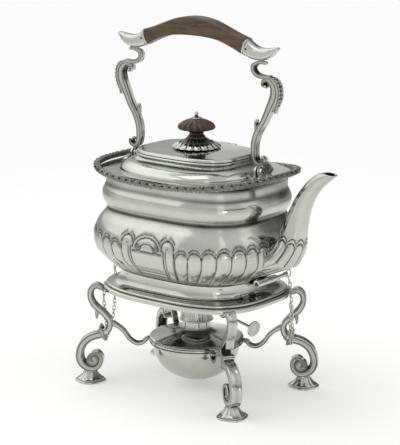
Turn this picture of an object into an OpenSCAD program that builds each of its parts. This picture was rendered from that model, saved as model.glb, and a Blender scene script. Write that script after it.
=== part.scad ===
// Spirit kettle on its stand: a cushion-shaped kettle with a hinged lid and a swing handle,
// held by two chained pins on a four-legged stand that carries a small spirit lamp.
// Frame: +Z up, z = 0 on the table, x = 0 and y = 0 on the lamp's axis, spout towards +X.

/* [Kettle body] */
// Half length of the belly at its widest
belly_half_length = 92.5; // [84:0.5:111]
// Half length of the kettle's flat base
base_half_length = 68.5; // [57:0.5:72]
// Half length of the neck under the rim
neck_half_length = 80.5; // [68:0.5:84]
// Half length of the outer edge of the rim border
rim_half_length = 92; // [90:0.5:110]
// Height of the kettle from its base to the top of the rim flange
body_height = 92; // [77:1:110]
// Half width divided by half length, over the whole kettle body
kettle_aspect = 0.77; // [0.7:0.01:0.85]
// Thickness of the silver sheet
sheet = 1.2; // [0.8:0.1:1.6]
// How far the rim border rises at the ends and dips at the sides
rim_lift = 3.5; // [0:0.5:4]

/* [Shoulder and lid] */
// Half length of the dome's foot on the flange
dome_half_length = 65.5; // [60:0.5:66]
// Half width of the dome's foot on the flange
dome_half_width = 59; // [52:0.5:60]
// Height of the dome from the flange to the seat of the lid
dome_height = 12.5; // [10:0.5:16]
// Half length of the flat top of the lid
lid_half_length = 49; // [41:0.5:50]
// Half width of the flat top of the lid
lid_half_width = 36; // [30:0.5:37]
// How far the lid's inner skirt reaches down
skirt_depth = 3.2; // [2:0.1:5]
// Widest radius of the wooden knob
knob_radius = 17; // [14:0.5:20.5]
// Radius of the petalled cup under the knob
calyx_radius = 22.3; // [18.5:0.1:27]

/* [Handle] */
// Half of the distance between the two handle pivots
handle_half_span = 70.5; // [69:0.5:75]
// Height of the top of the grip above the pivots
handle_height = 130.4; // [124:0.2:157]
// Half length of the wooden grip along its chord
grip_half_length = 57; // [54:0.5:60]
// Width of the wooden grip across its middle
grip_width = 15; // [11:0.5:18]
// Depth of the cast handle arms across their outline
arm_depth = 6.5; // [5.5:0.5:8]
// Diameter of the two handle pivots
handle_pivot_diameter = 2.6; // [2:0.1:3.2]

/* [Spout] */
// How far the spout's mouth stands out from the lamp's axis
spout_reach = 144.5; // [138:0.5:160]
// Height of the spout's mouth above the kettle's base
spout_rise = 105.4; // [98:0.2:120]
// Half width of the spout at its mouth
spout_mouth_half_width = 5.6; // [4.6:0.1:6.8]
// Diameter of the pouring hole in the kettle wall
pouring_hole_diameter = 17; // [12:0.5:20]

/* [Stand] */
// Height of the stand's collar, on which the kettle rests
stand_height = 110; // [100:1:132]
// Half length of the moulded lower edge of the stand's plate
plate_half_length = 83; // [82:0.5:90]
// Half width divided by half length, over the stand's plate
stand_aspect = 0.79; // [0.72:0.01:0.86]
// Depth of the collar and plate together
plate_depth = 20.5; // [17:0.5:25]
// Distance from the lamp's axis to the centre of each foot
foot_distance = 98.6; // [97:0.2:112]
// Angle between the long axis and each leg
leg_angle = 33.3; // [28:0.1:36]
// Depth of the leg straps across their outline
leg_depth = 10; // [8:0.5:12]
// Half width of the feet at the table
foot_half_width = 13.6; // [11.2:0.2:16]
// Depth of the stretcher straps across their outline
stretcher_depth = 5.5; // [4:0.5:7]

/* [Lamp] */
// Outer radius of the ring that carries the lamp
ring_radius = 43.4; // [36.5:0.1:44]
// Height of the top face of the lamp ring
ring_top = 44.4; // [43:0.2:53]
// Depth of the lamp's bowl below the ring
bowl_depth = 38; // [31:0.5:39]
// Radius of the turning sleeve round the burner
sleeve_radius = 15.6; // [13:0.1:17]
// Height of the top of the turning sleeve above the ring
sleeve_rise = 37; // [31:0.5:44]
// Distance from the lamp's axis to the regulator's thumb disc
disc_distance = 76; // [63:0.5:77]
// Radius of the regulator's thumb disc
thumb_disc_radius = 7.2; // [6:0.1:8]

/* [Locking pins and chains] */
// Diameter of the two locking pins
lock_pin_diameter = 3.6; // [3:0.1:4.2]
// Outer diameter of the knuckles that the pins pass through
knuckle_diameter = 6.6; // [6.2:0.1:7.4]
// Length of the row of knuckles at each end
knuckle_row = 28; // [24:1:34]
// Thickness of the chain wire
chain_wire = 0.9; // [0.7:0.1:1.1]
// Outer length of one chain link
link_length = 5.4; // [4.6:0.1:6.4]

/* [Hidden] */

$fn = 48;
silver = "silver";
wood = "saddlebrown";
eps = 0.01;
// Length of a cutter that passes right through a thin wall
cut_length = 24;
// Gap between pieces that rest on each other
seat_gap = 0.2;
// Radial clearance of a pin that turns in its bore
running_fit = 0.06;
// Points round a cushion-shaped ring
ring_steps = 56;
// Plan powers: 2 is an ellipse, and a higher one is squarer
body_power = 3;
dome_power = 2.7;
lid_power = 3.3;

function power_of(v, e) = sign(v) * pow(abs(v), e);

// A cushion-shaped ring from [half length, half width, height, plan power, lift at the ends]
function ring(r) = [
    for (i = [0 : ring_steps - 1])
        let (
            t = 360 * i / ring_steps,
            x = r[0] * power_of(cos(t), 2 / r[3]),
            y = r[1] * power_of(sin(t), 2 / r[3])
        )
        [x, y, r[2] + r[4] * (2 * pow(x / r[0], 2) - 1)]
];

// One point of a smooth curve through p1 and p2
function curve_point(p0, p1, p2, p3, t) =
    (2 * p1 + (p2 - p0) * t + (2 * p0 - 5 * p1 + 4 * p2 - p3) * t * t
    + (3 * p1 - p0 - 3 * p2 + p3) * t * t * t) / 2;

// A smooth curve through a list of points, with steps points on each span
function smooth(p, steps) = [
    for (i = [0 : len(p) - 2], j = [0 : steps - 1])
        curve_point(p[max(i - 1, 0)], p[i], p[i + 1], p[min(i + 2, len(p) - 1)], j / steps),
    p[len(p) - 1]
];

function direction(p, i) =
    let (d = p[min(i + 1, len(p) - 1)] - p[max(i - 1, 0)])
    [d[0], d[1]] / norm([d[0], d[1]]);

// The outline of a strap along a list of [x, z, half width]
function strap_outline(p) = concat(
    [for (i = [0 : len(p) - 1]) let (d = direction(p, i)) [p[i][0] - d[1] * p[i][2], p[i][1] + d[0] * p[i][2]]],
    [for (i = [len(p) - 1 : -1 : 0]) let (d = direction(p, i)) [p[i][0] + d[1] * p[i][2], p[i][1] - d[0] * p[i][2]]]
);

// Surface through a list of rings, closed on itself or capped at both ends
module skin(rings, closed = false) {
    n = len(rings[0]);
    m = len(rings);
    sides = [
        for (j = [0 : closed ? m - 1 : m - 2], i = [0 : n - 1])
            let (a = j * n + i, b = j * n + (i + 1) % n, c = ((j + 1) % m) * n + (i + 1) % n, d = ((j + 1) % m) * n + i)
            each [[a, d, c], [a, c, b]]
    ];
    caps = closed ? [] : [[for (i = [0 : n - 1]) i], [for (i = [n - 1 : -1 : 0]) (m - 1) * n + i]];
    polyhedron(points = [for (r = rings) each r], faces = concat(sides, caps), convexity = 8);
}

// An outline in the x-z plane, made into a plate of the given depth
module upright(depth) {
    rotate([90, 0, 0])
        linear_extrude(height = depth, center = true)
            children();
}

module strap(points, depth, steps = 5) {
    upright(depth)
        polygon(strap_outline(smooth(points, steps)));
}

// A bar along X, Y or Z from a plain cylinder
module bar_x(length, diameter) {
    rotate([0, 90, 0])
        cylinder(h = length, d = diameter, center = true);
}

module bar_y(length, diameter) {
    rotate([90, 0, 0])
        cylinder(h = length, d = diameter, center = true);
}

// Heights on the kettle
base_z = stand_height + seat_gap;
flange_z = base_z + body_height;
seat_z = flange_z + dome_height;
lid_top_z = seat_z + 5.4;
waist_half_length = neck_half_length - 1.3;
band_half_length = neck_half_length + 3.3;

// Outer outline of the kettle wall: half length, and height as a share of the body height
belly_outline = [
    [base_half_length, 0],
    [base_half_length + 2.5, 0.011],
    [base_half_length + 8.5, 0.054],
    [belly_half_length - 8.5, 0.123],
    [belly_half_length - 3, 0.193],
    [belly_half_length - 0.3, 0.27],
    [belly_half_length, 0.335],
    [belly_half_length - 1.5, 0.41],
    [belly_half_length - 5.5, 0.5],
    [waist_half_length + 2.3, 0.575],
    [waist_half_length, 0.615]
];
neck_outline = [
    [waist_half_length + 1.4, 0.637],
    [waist_half_length + 1.2, 0.648],
    [band_half_length - 1.2, 0.678],
    [band_half_length, 0.728],
    [band_half_length - 0.2, 0.78],
    [band_half_length - 1.8, 0.824],
    [neck_half_length, 0.848],
    [neck_half_length - 0.1, 0.864],
    [neck_half_length + 0.3, 0.912],
    [neck_half_length + 2, 0.961],
    [neck_half_length + 4, 0.984]
];
body_outline = concat(belly_outline, neck_outline);

function body_ring(p, inset, rise) = ring([
    p[0] - inset, p[0] * kettle_aspect - inset, base_z + p[1] * body_height + rise, body_power, 0
]);

module kettle_body() {
    count = len(body_outline);
    pour_z = base_z + 0.26 * body_height;
    color(silver)
        difference() {
            skin(concat(
                [for (p = body_outline) body_ring(p, 0, 0)],
                [for (i = [count - 1 : -1 : 0])
                    body_ring(body_outline[i], sheet, max(sheet - body_outline[i][1] * body_height, 0))]
            ));
            translate([belly_half_length, 0, pour_z])
                bar_x(cut_length, pouring_hole_diameter);
        }
}

// The flange, the dome and the seat of the lid, from the outside in
mouth_half_length = lid_half_length - 0.5;
mouth_half_width = lid_half_width - 0.5;
shoulder_rise = dome_height / 12.5;
shoulder_outline = [
    [neck_half_length + 5.2, (neck_half_length + 5.2) * kettle_aspect, 0, body_power],
    [dome_half_length, dome_half_width, 0, dome_power],
    [dome_half_length - 0.6, dome_half_width - 0.7, 2.6, dome_power],
    [dome_half_length - 2.4, dome_half_width - 2.9, 5.1, dome_power],
    [dome_half_length - 5, dome_half_width - 6.6, 7.3, dome_power],
    [dome_half_length - 8, dome_half_width - 11, 8.6, 2.9],
    [mouth_half_length + 7, mouth_half_width + 8, 9.2, 3],
    [mouth_half_length + 4.8, mouth_half_width + 5.6, 9.8, lid_power],
    [mouth_half_length + 3.6, mouth_half_width + 3.8, 11.2, lid_power],
    [mouth_half_length + 2.6, mouth_half_width + 2.6, 12.3, lid_power],
    [mouth_half_length, mouth_half_width, 12.3, lid_power]
];

function shoulder_ring(p, drop) = ring([p[0], p[1], flange_z + p[2] * shoulder_rise - drop, p[3], 0]);

module kettle_shoulder() {
    last = len(shoulder_outline) - 1;
    color(silver)
        skin(concat(
            [for (i = [0 : last]) shoulder_ring(shoulder_outline[i], 0)],
            [for (i = [last : -1 : 0]) shoulder_ring(shoulder_outline[i] - (i == 0 || i == last
                ? [0, 0, 0, 0] : [sheet, sheet, 0, 0]), sheet)]
        ), closed = true);
}

border_inner = neck_half_length + 5.4;
border_outline = [
    [0, -2.4], [0.3, -3.1], [0.75, -2.6], [1, -0.4], [0.93, 1.5], [0.6, 2.6], [0.25, 2.5], [0, 1.4]
];

module rim_border() {
    width = rim_half_length - border_inner;
    color(silver)
        skin([
            for (p = border_outline)
                let (a = border_inner + p[0] * width)
                ring([a, a * kettle_aspect, flange_z + p[1], body_power, rim_lift])
        ], closed = true);
}

// The beaded collar round the mouth, on which the lid shuts
bezel_outline = [[0, 0], [3.4, 0], [4.5, 0.7], [4.5, 1.7], [3.6, 2.3], [0, 2.3]];

module lid_bezel() {
    color(silver)
        skin([
            for (p = bezel_outline)
                ring([mouth_half_length + p[0], mouth_half_width + p[0], seat_z + p[1], lid_power, 0])
        ], closed = true);
}

// The spout's sections: centre x and z, half thickness, slope of the section, half width
rise_z = base_z + spout_rise;
spout_foot_x = belly_half_length + 15.6;

// Where the spout's neck stands at a share of the way out from its foot to its mouth
function neck_x(share) = spout_foot_x + share * (spout_reach - spout_foot_x);

spout_sections = [
    [belly_half_length + 6, base_z + 26, 12.8, -42, 18.5],
    [belly_half_length + 12.8, base_z + 37.4, 12.6, -20, 14.6],
    [spout_foot_x, base_z + 50, 11.4, -9, 11.4],
    [neck_x(0.1209), rise_z - 40.6, 9.6, -18, 9.4],
    [neck_x(0.2967), rise_z - 25.6, 8, -32, 8],
    [neck_x(0.5495), rise_z - 12.4, 6.8, -42, 7],
    [neck_x(0.7912), rise_z - 4.6, 6.1, -38, spout_mouth_half_width + 0.8],
    [spout_reach, rise_z, 6.2, -6, spout_mouth_half_width]
];
spout_steps = 28;
root_half_width = 20;
root_half_height = 17.5;
root_z = base_z + 21.5;
wall_table = [for (p = belly_outline) [base_z + p[1] * body_height, p[0]]];

function wall_x(y, z) =
    let (a = lookup(z, wall_table), b = a * kettle_aspect)
    a * pow(1 - pow(abs(y) / b, body_power), 1 / body_power);

function spout_root(inset) = [
    for (i = [0 : spout_steps - 1])
        let (
            t = 360 * i / spout_steps,
            y = (root_half_width - inset) * sin(t),
            z = root_z - (root_half_height - inset) * cos(t)
        )
        [wall_x(y, z) + seat_gap, y, z]
];

function spout_ring(s, inset) = [
    for (i = [0 : spout_steps - 1])
        let (t = 360 * i / spout_steps, u = (s[2] - inset) * cos(t))
        [s[0] + u * cos(s[3]), (s[4] - inset) * sin(t), s[1] + u * sin(s[3])]
];

module spout() {
    stations = smooth(spout_sections, 2);
    last = len(stations) - 1;
    color(silver)
        skin(concat(
            [spout_root(0)],
            [for (i = [0 : last]) spout_ring(stations[i], 0)],
            [for (i = [last : -1 : 0]) spout_ring(stations[i], sheet)],
            [spout_root(sheet)]
        ), closed = true);
}

// The lid: a nearly flat plate with a beaded edge and a short skirt inside the mouth
lid_under_z = seat_z + 2.3 + seat_gap;
lid_dome = 1.6;
lid_edge = 2.8;
skirt_gap = 2.2;
lid_top_outline = [
    [lid_edge, lid_under_z], [lid_edge + 0.8, lid_under_z + 0.9], [lid_edge + 0.5, lid_under_z + 1.9],
    [lid_edge - 1.2, lid_under_z + 2.4], [0, lid_top_z], [-14, lid_top_z + lid_dome * 0.6],
    [-26, lid_top_z + lid_dome]
];
lid_under_outline = [
    [-26, lid_top_z + lid_dome - sheet], [-14, lid_top_z + lid_dome * 0.6 - sheet],
    [-skirt_gap - sheet, lid_top_z - 2 * sheet], [-skirt_gap - sheet, lid_under_z - skirt_depth],
    [-skirt_gap, lid_under_z - skirt_depth], [-skirt_gap, lid_under_z]
];

function lid_ring(p) = ring([lid_half_length + p[0], lid_half_width + p[0], p[1], lid_power, 0]);

module lid() {
    color(silver)
        skin([for (p = concat(lid_under_outline, lid_top_outline)) lid_ring(p)]);
}

// Lid hinge, behind the mouth at the back
hinge_y = mouth_half_width + 8.6;
hinge_z = seat_z + 2.6;
hinge_pin_diameter = 1.8;
hinge_barrel = 4.4;
hinge_centre = 9;
hinge_side = 6;
hinge_play = 0.25;
hinge_length = hinge_centre + 2 * (hinge_side + hinge_play);
hinge_foot = hinge_z - flange_z - shoulder_outline[6][2] * shoulder_rise - seat_gap;

module lid_hinge_leaf() {
    step = hinge_centre / 2 + hinge_play;
    foot_y = hinge_barrel / 2;
    color(silver)
        difference() {
            for (s = [-1, 1])
                translate([s * (step + hinge_side / 2), hinge_y, hinge_z]) {
                    bar_x(hinge_side, hinge_barrel);
                    translate([-hinge_side / 2, -0.4, -hinge_foot])
                        cube([hinge_side, foot_y + 0.4, hinge_foot]);
                }
            translate([0, hinge_y, hinge_z])
                bar_x(hinge_length + 2, hinge_pin_diameter);
        }
}

module lid_hinge_tab() {
    root_y = lid_half_width + lid_edge + 1.2;
    color(silver)
        difference() {
            union() {
                translate([0, hinge_y, hinge_z])
                    bar_x(hinge_centre, hinge_barrel);
                translate([-hinge_centre / 2, root_y, hinge_z - 0.2])
                    cube([hinge_centre, hinge_y - root_y, hinge_barrel / 2 + 0.2]);
            }
            translate([0, hinge_y, hinge_z])
                bar_x(hinge_length, hinge_pin_diameter + 2 * running_fit);
        }
}

module lid_hinge_pin() {
    color(silver)
        translate([0, hinge_y, hinge_z])
            bar_x(hinge_length, hinge_pin_diameter);
}

// Knob: petalled cup, fluted wooden mushroom and a silver point
calyx_z = lid_top_z + lid_dome;
cup_height = 8.8;
wood_z = calyx_z + cup_height;
stud_diameter = 3;

module knob_calyx() {
    r = calyx_radius;
    color(silver)
        translate([0, 0, calyx_z])
            rotate_extrude()
                polygon([
                    [0, 0], [r - 7, 0], [r - 5, 0.7], [r - 1, 1], [r, 2], [r - 0.6, 3.1], [r - 3.6, 4.4],
                    [r - 6, 5], [r - 9, 6.4], [r - 12.2, cup_height - 0.5], [r - 13.4, cup_height],
                    [0, cup_height]
                ]);
}

module knob() {
    w = knob_radius;
    color(wood)
        translate([0, 0, wood_z])
            difference() {
                rotate_extrude()
                    polygon([
                        [0, 0], [8.4, 0], [8, 1.4], [6.6, 3], [6.4, 4.4], [7.6, 6.2], [w - 2, 7.8], [w, 9.4],
                        [w - 0.5, 11.2], [w - 4, 14.2], [w - 9, 16.4], [5, 17.2], [0, 17.2]
                    ]);
                translate([0, 0, -1])
                    cylinder(h = cut_length, d = stud_diameter + 0.2);
            }
}

module knob_finial() {
    color(silver)
        translate([0, 0, wood_z]) {
            rotate_extrude()
                polygon([
                    [0, 0.1], [stud_diameter / 2, 0.1], [stud_diameter / 2, 17.3], [4.8, 17.3], [5, 17.8],
                    [4.2, 18.5], [1.9, 19.1], [1.5, 20.1], [2, 21.1], [1.2, 22.5], [0.5, 23.9], [0, 24.1]
                ]);
        }
}

// Swing handle: pivots on the flange, cast arms, ferrules and an arched wooden grip
pivot_z = flange_z + 6.5;
grip_top_z = pivot_z + handle_height;
cheek_radius = 4.1;
cheek = 2.2;
tongue = 3.4;
tongue_gap = 0.25;
lug_base = 2.2;
lug_radius = 11;

module at_side(side) {
    if (side < 0)
        mirror([1, 0, 0])
            children();
    else
        children();
}

module handle_lug() {
    inner = -tongue / 2 - tongue_gap - cheek;
    color(silver)
        translate([handle_half_span, 0, 0])
            difference() {
                union() {
                    translate([inner, 0, flange_z + seat_gap])
                        intersection() {
                            cylinder(h = lug_base, r = lug_radius);
                            translate([0, -lug_radius, 0])
                                cube([lug_radius, 2 * lug_radius, lug_base]);
                        }
                    for (x = [inner, tongue / 2 + tongue_gap])
                        translate([x, 0, 0]) {
                            translate([cheek / 2, 0, pivot_z])
                                bar_x(cheek, 2 * cheek_radius);
                            translate([0, -cheek_radius, flange_z + seat_gap])
                                cube([cheek, 2 * cheek_radius, pivot_z - flange_z - seat_gap]);
                        }
                }
                translate([0, 0, pivot_z])
                    bar_x(cut_length, handle_pivot_diameter);
            }
}

module left_handle_lug() {
    at_side(-1) handle_lug();
}

module right_handle_lug() {
    at_side(1) handle_lug();
}

module handle_pivot() {
    length = tongue + 2 * (tongue_gap + cheek);
    color(silver)
        translate([handle_half_span, 0, pivot_z])
            bar_x(length, handle_pivot_diameter);
}

module left_handle_pivot() {
    at_side(-1) handle_pivot();
}

module right_handle_pivot() {
    at_side(1) handle_pivot();
}

// Strap routes of an arm: distance out from the pivot, height above it, half width
arm_shaft = [
    [6.4, 75.6, 1], [3.8, 76.8, 1.4], [5, 80.2, 2], [9.8, 81.4, 2.6], [15.2, 76, 3.4],
    [15.6, 67.4, 4.1], [11, 57.4, 3.5], [4.8, 44.6, 3], [-1.4, 35, 3], [-5, 24.6, 3],
    [-5.2, 15.6, 2.7], [-3.6, 9.4, 2.3], [0.6, 7.2, 2], [4.4, 8.4, 1.7], [5.2, 11.4, 1.4], [3, 12.6, 0.9]
];
arm_scroll = [
    [5, 95.6, 1.1], [-1.2, 95.7, 1.5], [-6.6, 92.8, 2.1], [-6.8, 88.2, 2.2], [-2.2, 84.4, 2],
    [4.6, 83.6, 1.7], [10.6, 84.8, 0.8]
];
arm_leaf = [[17.8, 62, 1.3], [17.2, 56.6, 1.1], [16.6, 53.4, 0.7]];
arm_bud = [[-3.4, 36, 1.4], [-4, 41, 1.3], [-3.6, 44.2, 1.1]];

// The arms reach from the pivots to the ferrules, whatever the handle's height
drawn_handle_height = 130.4;
ferrule_depth = 33;
arm_scale = (handle_height - ferrule_depth) / (drawn_handle_height - ferrule_depth);

function arm_route(points) = [
    for (p = points) [handle_half_span + p[0], pivot_z + p[1] * arm_scale, p[2] * arm_scale]
];

module handle_arm() {
    color(silver)
        difference() {
            union() {
                strap(arm_route(arm_shaft), arm_depth);
                strap(arm_route(arm_scroll), arm_depth - 1.5);
                strap(arm_route(arm_leaf), arm_depth - 1.5);
                strap(arm_route(arm_bud), arm_depth - 2.5);
                translate([handle_half_span, 0, pivot_z]) {
                    bar_x(tongue, 2 * cheek_radius - 0.6);
                    translate([-tongue / 2, -2.8, 0])
                        cube([tongue, 5.6, 7]);
                }
            }
            translate([handle_half_span, 0, pivot_z])
                bar_x(tongue + 2, handle_pivot_diameter + 2 * running_fit);
        }
}

module left_handle_arm() {
    at_side(-1) handle_arm();
}

module right_handle_arm() {
    at_side(1) handle_arm();
}

// Grip and ferrules are drawn from the grip's top, measured down
grip_outline_top = [
    [-grip_half_length, -15.2], [-46, -12], [-35, -8], [-18, -2.2], [0, 0], [18, -2.2], [35, -8],
    [46, -12], [grip_half_length, -15.2]
];
grip_outline_under = [
    [grip_half_length - 5, -28.2], [42, -23.6], [28, -19], [14, -17.2], [0, -16.8], [-14, -17.2], [-28, -19],
    [-42, -23.6], [-grip_half_length + 5, -28.2]
];
grip_drop = 40;
grip_taper = 1.6;
tenon_length = 8;
tenon_height = 6;
tenon_width = 6;
tenon_x = grip_half_length - 3.4;
tenon_z = grip_top_z - 22;
grip_tilt = 21;
grip_pin_diameter = 2;
grip_pin_x = grip_half_length + 1.6;
grip_pin_z = grip_top_z - 23.6;

module tenon(clearance) {
    translate([tenon_x, 0, tenon_z])
        rotate([0, grip_tilt, 0])
            translate([-3, -tenon_width / 2 - clearance, -tenon_height / 2 - clearance])
                cube([tenon_length + 3 + clearance, tenon_width + 2 * clearance, tenon_height + 2 * clearance]);
}

module grip_pin_bore(diameter) {
    translate([grip_pin_x, 0, grip_pin_z])
        bar_y(grip_width + 2, diameter);
}

module handle_grip() {
    color(wood)
        difference() {
            union() {
                translate([0, 0, grip_top_z])
                    intersection() {
                        upright(grip_width)
                            polygon(concat(
                                smooth(grip_outline_top, 3),
                                smooth(grip_outline_under, 3)
                            ));
                        translate([0, 0, -grip_drop])
                            linear_extrude(height = grip_drop + 1)
                                polygon([
                                    for (side = [-1, 1], i = [-20 : 20])
                                        let (share = -side * i / 20)
                                        [share * (grip_half_length + 3),
                                        side * (grip_width / 2 - grip_taper * share * share)]
                                ]);
                    }
                for (side = [-1, 1])
                    at_side(side)
                        tenon(0);
            }
            for (side = [-1, 1])
                at_side(side)
                    grip_pin_bore(grip_pin_diameter);
        }
}

ferrule_outline = [
    [grip_half_length + 0.4, -15.4], [grip_half_length + 3.4, -17.4], [grip_half_length + 8, -20],
    [grip_half_length + 13.6, -21.4], [grip_half_length + 20, -21.3], [grip_half_length + 26, -20.6],
    [grip_half_length + 31, -20.8], [grip_half_length + 32.6, -22.8], [grip_half_length + 31, -26],
    [grip_half_length + 27.6, -29], [grip_half_length + 21, -32], [grip_half_length + 14, -32.9],
    [grip_half_length + 6, -32.4], [grip_half_length - 1, -30.4], [grip_half_length - 4.7, -28.4]
];

module ferrule() {
    root = grip_width / 2 - grip_taper;
    color(silver)
        difference() {
            intersection() {
                translate([0, 0, grip_top_z])
                    upright(grip_width)
                        polygon(ferrule_outline);
                translate([grip_half_length - 8, 0, grip_top_z - grip_drop])
                    linear_extrude(height = grip_drop)
                        polygon([
                            [0, root], [9, root], [20, root + 0.3], [32, root - 0.6], [38, root - 2.4],
                            [41, root - 4.4], [41, 4.4 - root], [38, 2.4 - root], [32, 0.6 - root],
                            [20, -root - 0.3], [9, -root], [0, -root]
                        ]);
            }
            tenon(0.15);
            grip_pin_bore(grip_pin_diameter);
        }
}

module left_ferrule() {
    at_side(-1) ferrule();
}

module right_ferrule() {
    at_side(1) ferrule();
}

module grip_pins() {
    color("dimgray")
        for (side = [-1, 1])
            at_side(side)
                translate([grip_pin_x, 0, grip_pin_z])
                    bar_y(grip_width - 2 * grip_taper + 0.4, grip_pin_diameter);
}

// Stand plate: the collar under the kettle and the moulded plate round it
collar_half_length = base_half_length - 0.8;
plate_scale = plate_depth / 20.5;
plate_outline = [
    [collar_half_length, 0], [collar_half_length, -1.2],
    [collar_half_length - 0.3, -4], [collar_half_length + 0.4, -7.6], [collar_half_length + 2.4, -10.6],
    [collar_half_length + 6, -12.4], [plate_half_length - 4.8, -13.4], [plate_half_length - 3.2, -13.6],
    [plate_half_length - 2.2, -14.6], [plate_half_length - 2.6, -16], [plate_half_length - 0.8, -16.6],
    [plate_half_length + 0.4, -17.8], [plate_half_length, -20.5]
];
plate_sheet = 1.6;

function plate_ring(p, inset, drop) = ring([
    p[0] - inset, p[0] * stand_aspect - inset, stand_height + p[1] * plate_scale - drop, body_power, 0
]);

module stand_plate() {
    last = len(plate_outline) - 1;
    color(silver)
        skin(concat(
            [for (i = [last : -1 : 0]) plate_ring(plate_outline[i], 0, 0)],
            [for (i = [0 : last]) plate_ring(plate_outline[i], plate_sheet, i > 4 && i < last ? plate_sheet : 0)]
        ), closed = true);
}

// Everything on a leg is drawn in the upright plane through its foot
plate_under_z = stand_height - plate_depth;
drawn_foot_distance = 98.6;
drawn_under_z = 89.5;
leg_offset = foot_distance - drawn_foot_distance;
foot_height = 10.6;
leg_upper = [
    [76.5, 87.2, 1.4], [82, 87.4, 1.6], [87.4, 90, 2.2], [92.4, 91.6, 2.6], [96.8, 87.6, 2.7],
    [97.4, 80.4, 2.7], [93.6, 72.8, 2.8], [86.4, 66.4, 2.7], [80, 58.6, 2.6], [80.6, 50.8, 3],
    [85.6, 46.4, 3.2]
];
leg_lower = [
    [83.6, 47.8, 4.2], [88.6, 45.4, 3.6], [97, 42.8, 3.4], [104.6, 36.4, 3.6], [108.2, 26.6, 3.7],
    [106.8, 18.4, 3.6], [101.4, 13.4, 3.3], [94.6, 12.6, 2.8], [89.6, 16.6, 2.5], [88.4, 22.8, 2.4],
    [91.8, 27.2, 2.1], [96.4, 26, 1.8], [98, 21.6, 1.6], [95.4, 18.6, 1.3]
];
leg_tip = [[90.8, 70, 2.2], [91.8, 65, 1.6], [91.6, 60.6, 0.8]];
leg_cuff = [[83.2, 40.8, 1.4], [85.6, 44.4, 1.8], [88, 50.6, 1.8], [88.2, 53.4, 1]];

function leg_route(points) = [
    for (p = points)
        let (over = max(p[1] - foot_height, 0) / (drawn_under_z - foot_height))
        [p[0] + leg_offset, p[1] + over * (plate_under_z - drawn_under_z), p[2]]
];

module on_leg(right, back) {
    rotate([0, 0, right > 0 ? back * leg_angle : 180 - back * leg_angle])
        children();
}

// A leg fits round the plate's edge and stands on its foot
module leg(right, back) {
    color(silver)
        difference() {
            on_leg(right, back) {
                strap(leg_route(leg_upper), leg_depth - 1.5);
                strap(leg_route(leg_lower), leg_depth, 4);
                strap(leg_route(leg_tip), leg_depth - 2.5);
                strap(leg_route(leg_cuff), leg_depth + 0.6);
                translate([foot_distance, 0, foot_height])
                    cylinder(h = 2, r = 5.2);
            }
            translate([0, 0, plate_under_z - seat_gap])
                linear_extrude(height = 2 * plate_depth)
                    polygon([
                        for (p = plate_ring([plate_half_length + 0.8, 0], 0, 0)) [p[0], p[1]]
                    ]);
            cylinder(h = foot_height + seat_gap, r = plate_half_length * 2);
        }
}

module front_right_leg() {
    leg(1, -1);
}

module front_left_leg() {
    leg(-1, -1);
}

module back_right_leg() {
    leg(1, 1);
}

module back_left_leg() {
    leg(-1, 1);
}

// A bell-shaped foot on a shaped square pad
module foot() {
    pad = [
        for (i = [0 : 47])
            let (t = 7.5 * i)
            foot_half_width * (1 + 0.05 * cos(4 * t)) * [cos(t), sin(t)]
    ];
    color(silver)
        translate([foot_distance, 0, 0]) {
            linear_extrude(height = 1.8)
                polygon(pad);
            translate([0, 0, 1.8 - eps])
                linear_extrude(height = 1.4)
                    polygon(pad * 0.9);
            translate([0, 0, 3.2 - 2 * eps])
                rotate_extrude()
                    polygon([
                        [0, 0], [foot_half_width * 0.8, 0], [foot_half_width * 0.62, 1.8],
                        [foot_half_width * 0.48, 3.8], [5.6, 5.6], [5.4, foot_height - 3.2], [0, foot_height - 3.2]
                    ]);
        }
}

module front_right_foot() {
    on_leg(1, -1) foot();
}

module front_left_foot() {
    on_leg(-1, -1) foot();
}

module back_right_foot() {
    on_leg(1, 1) foot();
}

module back_left_foot() {
    on_leg(-1, 1) foot();
}

// A curved strap from the leg to the lamp ring
ring_height = 4;
stretcher_route = [
    [77.2, 56, 1.8], [72.6, 53.4, 1.5], [67, 48.8, 1.4], [61.6, 41.4, 1.4], [55.4, 37.4, 1.4],
    [49.4, 38.4, 1.4], [46.6, 41.6, 1.5], [43.4, 43, 1.3]
];

// Its ends keep to the ring and to the leg when those move
module stretcher() {
    drawn_ring_top = 44.4;
    drawn_ring_radius = 43.4;
    inner = stretcher_route[len(stretcher_route) - 1][0];
    span = stretcher_route[0][0] - inner;
    leg_share = 0.58;
    route = [
        for (p = stretcher_route)
            let (share = (p[0] - inner) / span)
            [
                p[0] + (1 - share) * (ring_radius - drawn_ring_radius) + share * leg_offset,
                p[1] + (1 - share) * (ring_top - drawn_ring_top)
                    + share * leg_share * (plate_under_z - drawn_under_z),
                p[2]
            ]
    ];
    color(silver)
        difference() {
            strap(route, stretcher_depth);
            cylinder(h = stand_height, r = ring_radius + seat_gap);
            leg_cutter();
        }
}

// The leg with a small gap round it, so that the stretcher stops at the leg
module leg_cutter() {
    strap([for (p = leg_route(leg_upper)) [p[0], p[1], p[2] + seat_gap]], leg_depth + 4);
}

module front_right_stretcher() {
    on_leg(1, -1) stretcher();
}

module front_left_stretcher() {
    on_leg(-1, -1) stretcher();
}

module back_right_stretcher() {
    on_leg(1, 1) stretcher();
}

module back_left_stretcher() {
    on_leg(-1, 1) stretcher();
}

ring_width = 2.9;

module lamp_ring() {
    r = ring_radius;
    color(silver)
        rotate_extrude()
            polygon([
                [r - ring_width, ring_top - ring_height], [r - 0.6, ring_top - ring_height],
                [r, ring_top - ring_height + 0.6], [r, ring_top - 2.6], [r - 0.6, ring_top - 2.1],
                [r, ring_top - 1.6], [r, ring_top - 0.5], [r - 0.5, ring_top], [r - ring_width, ring_top]
            ]);
}

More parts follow.
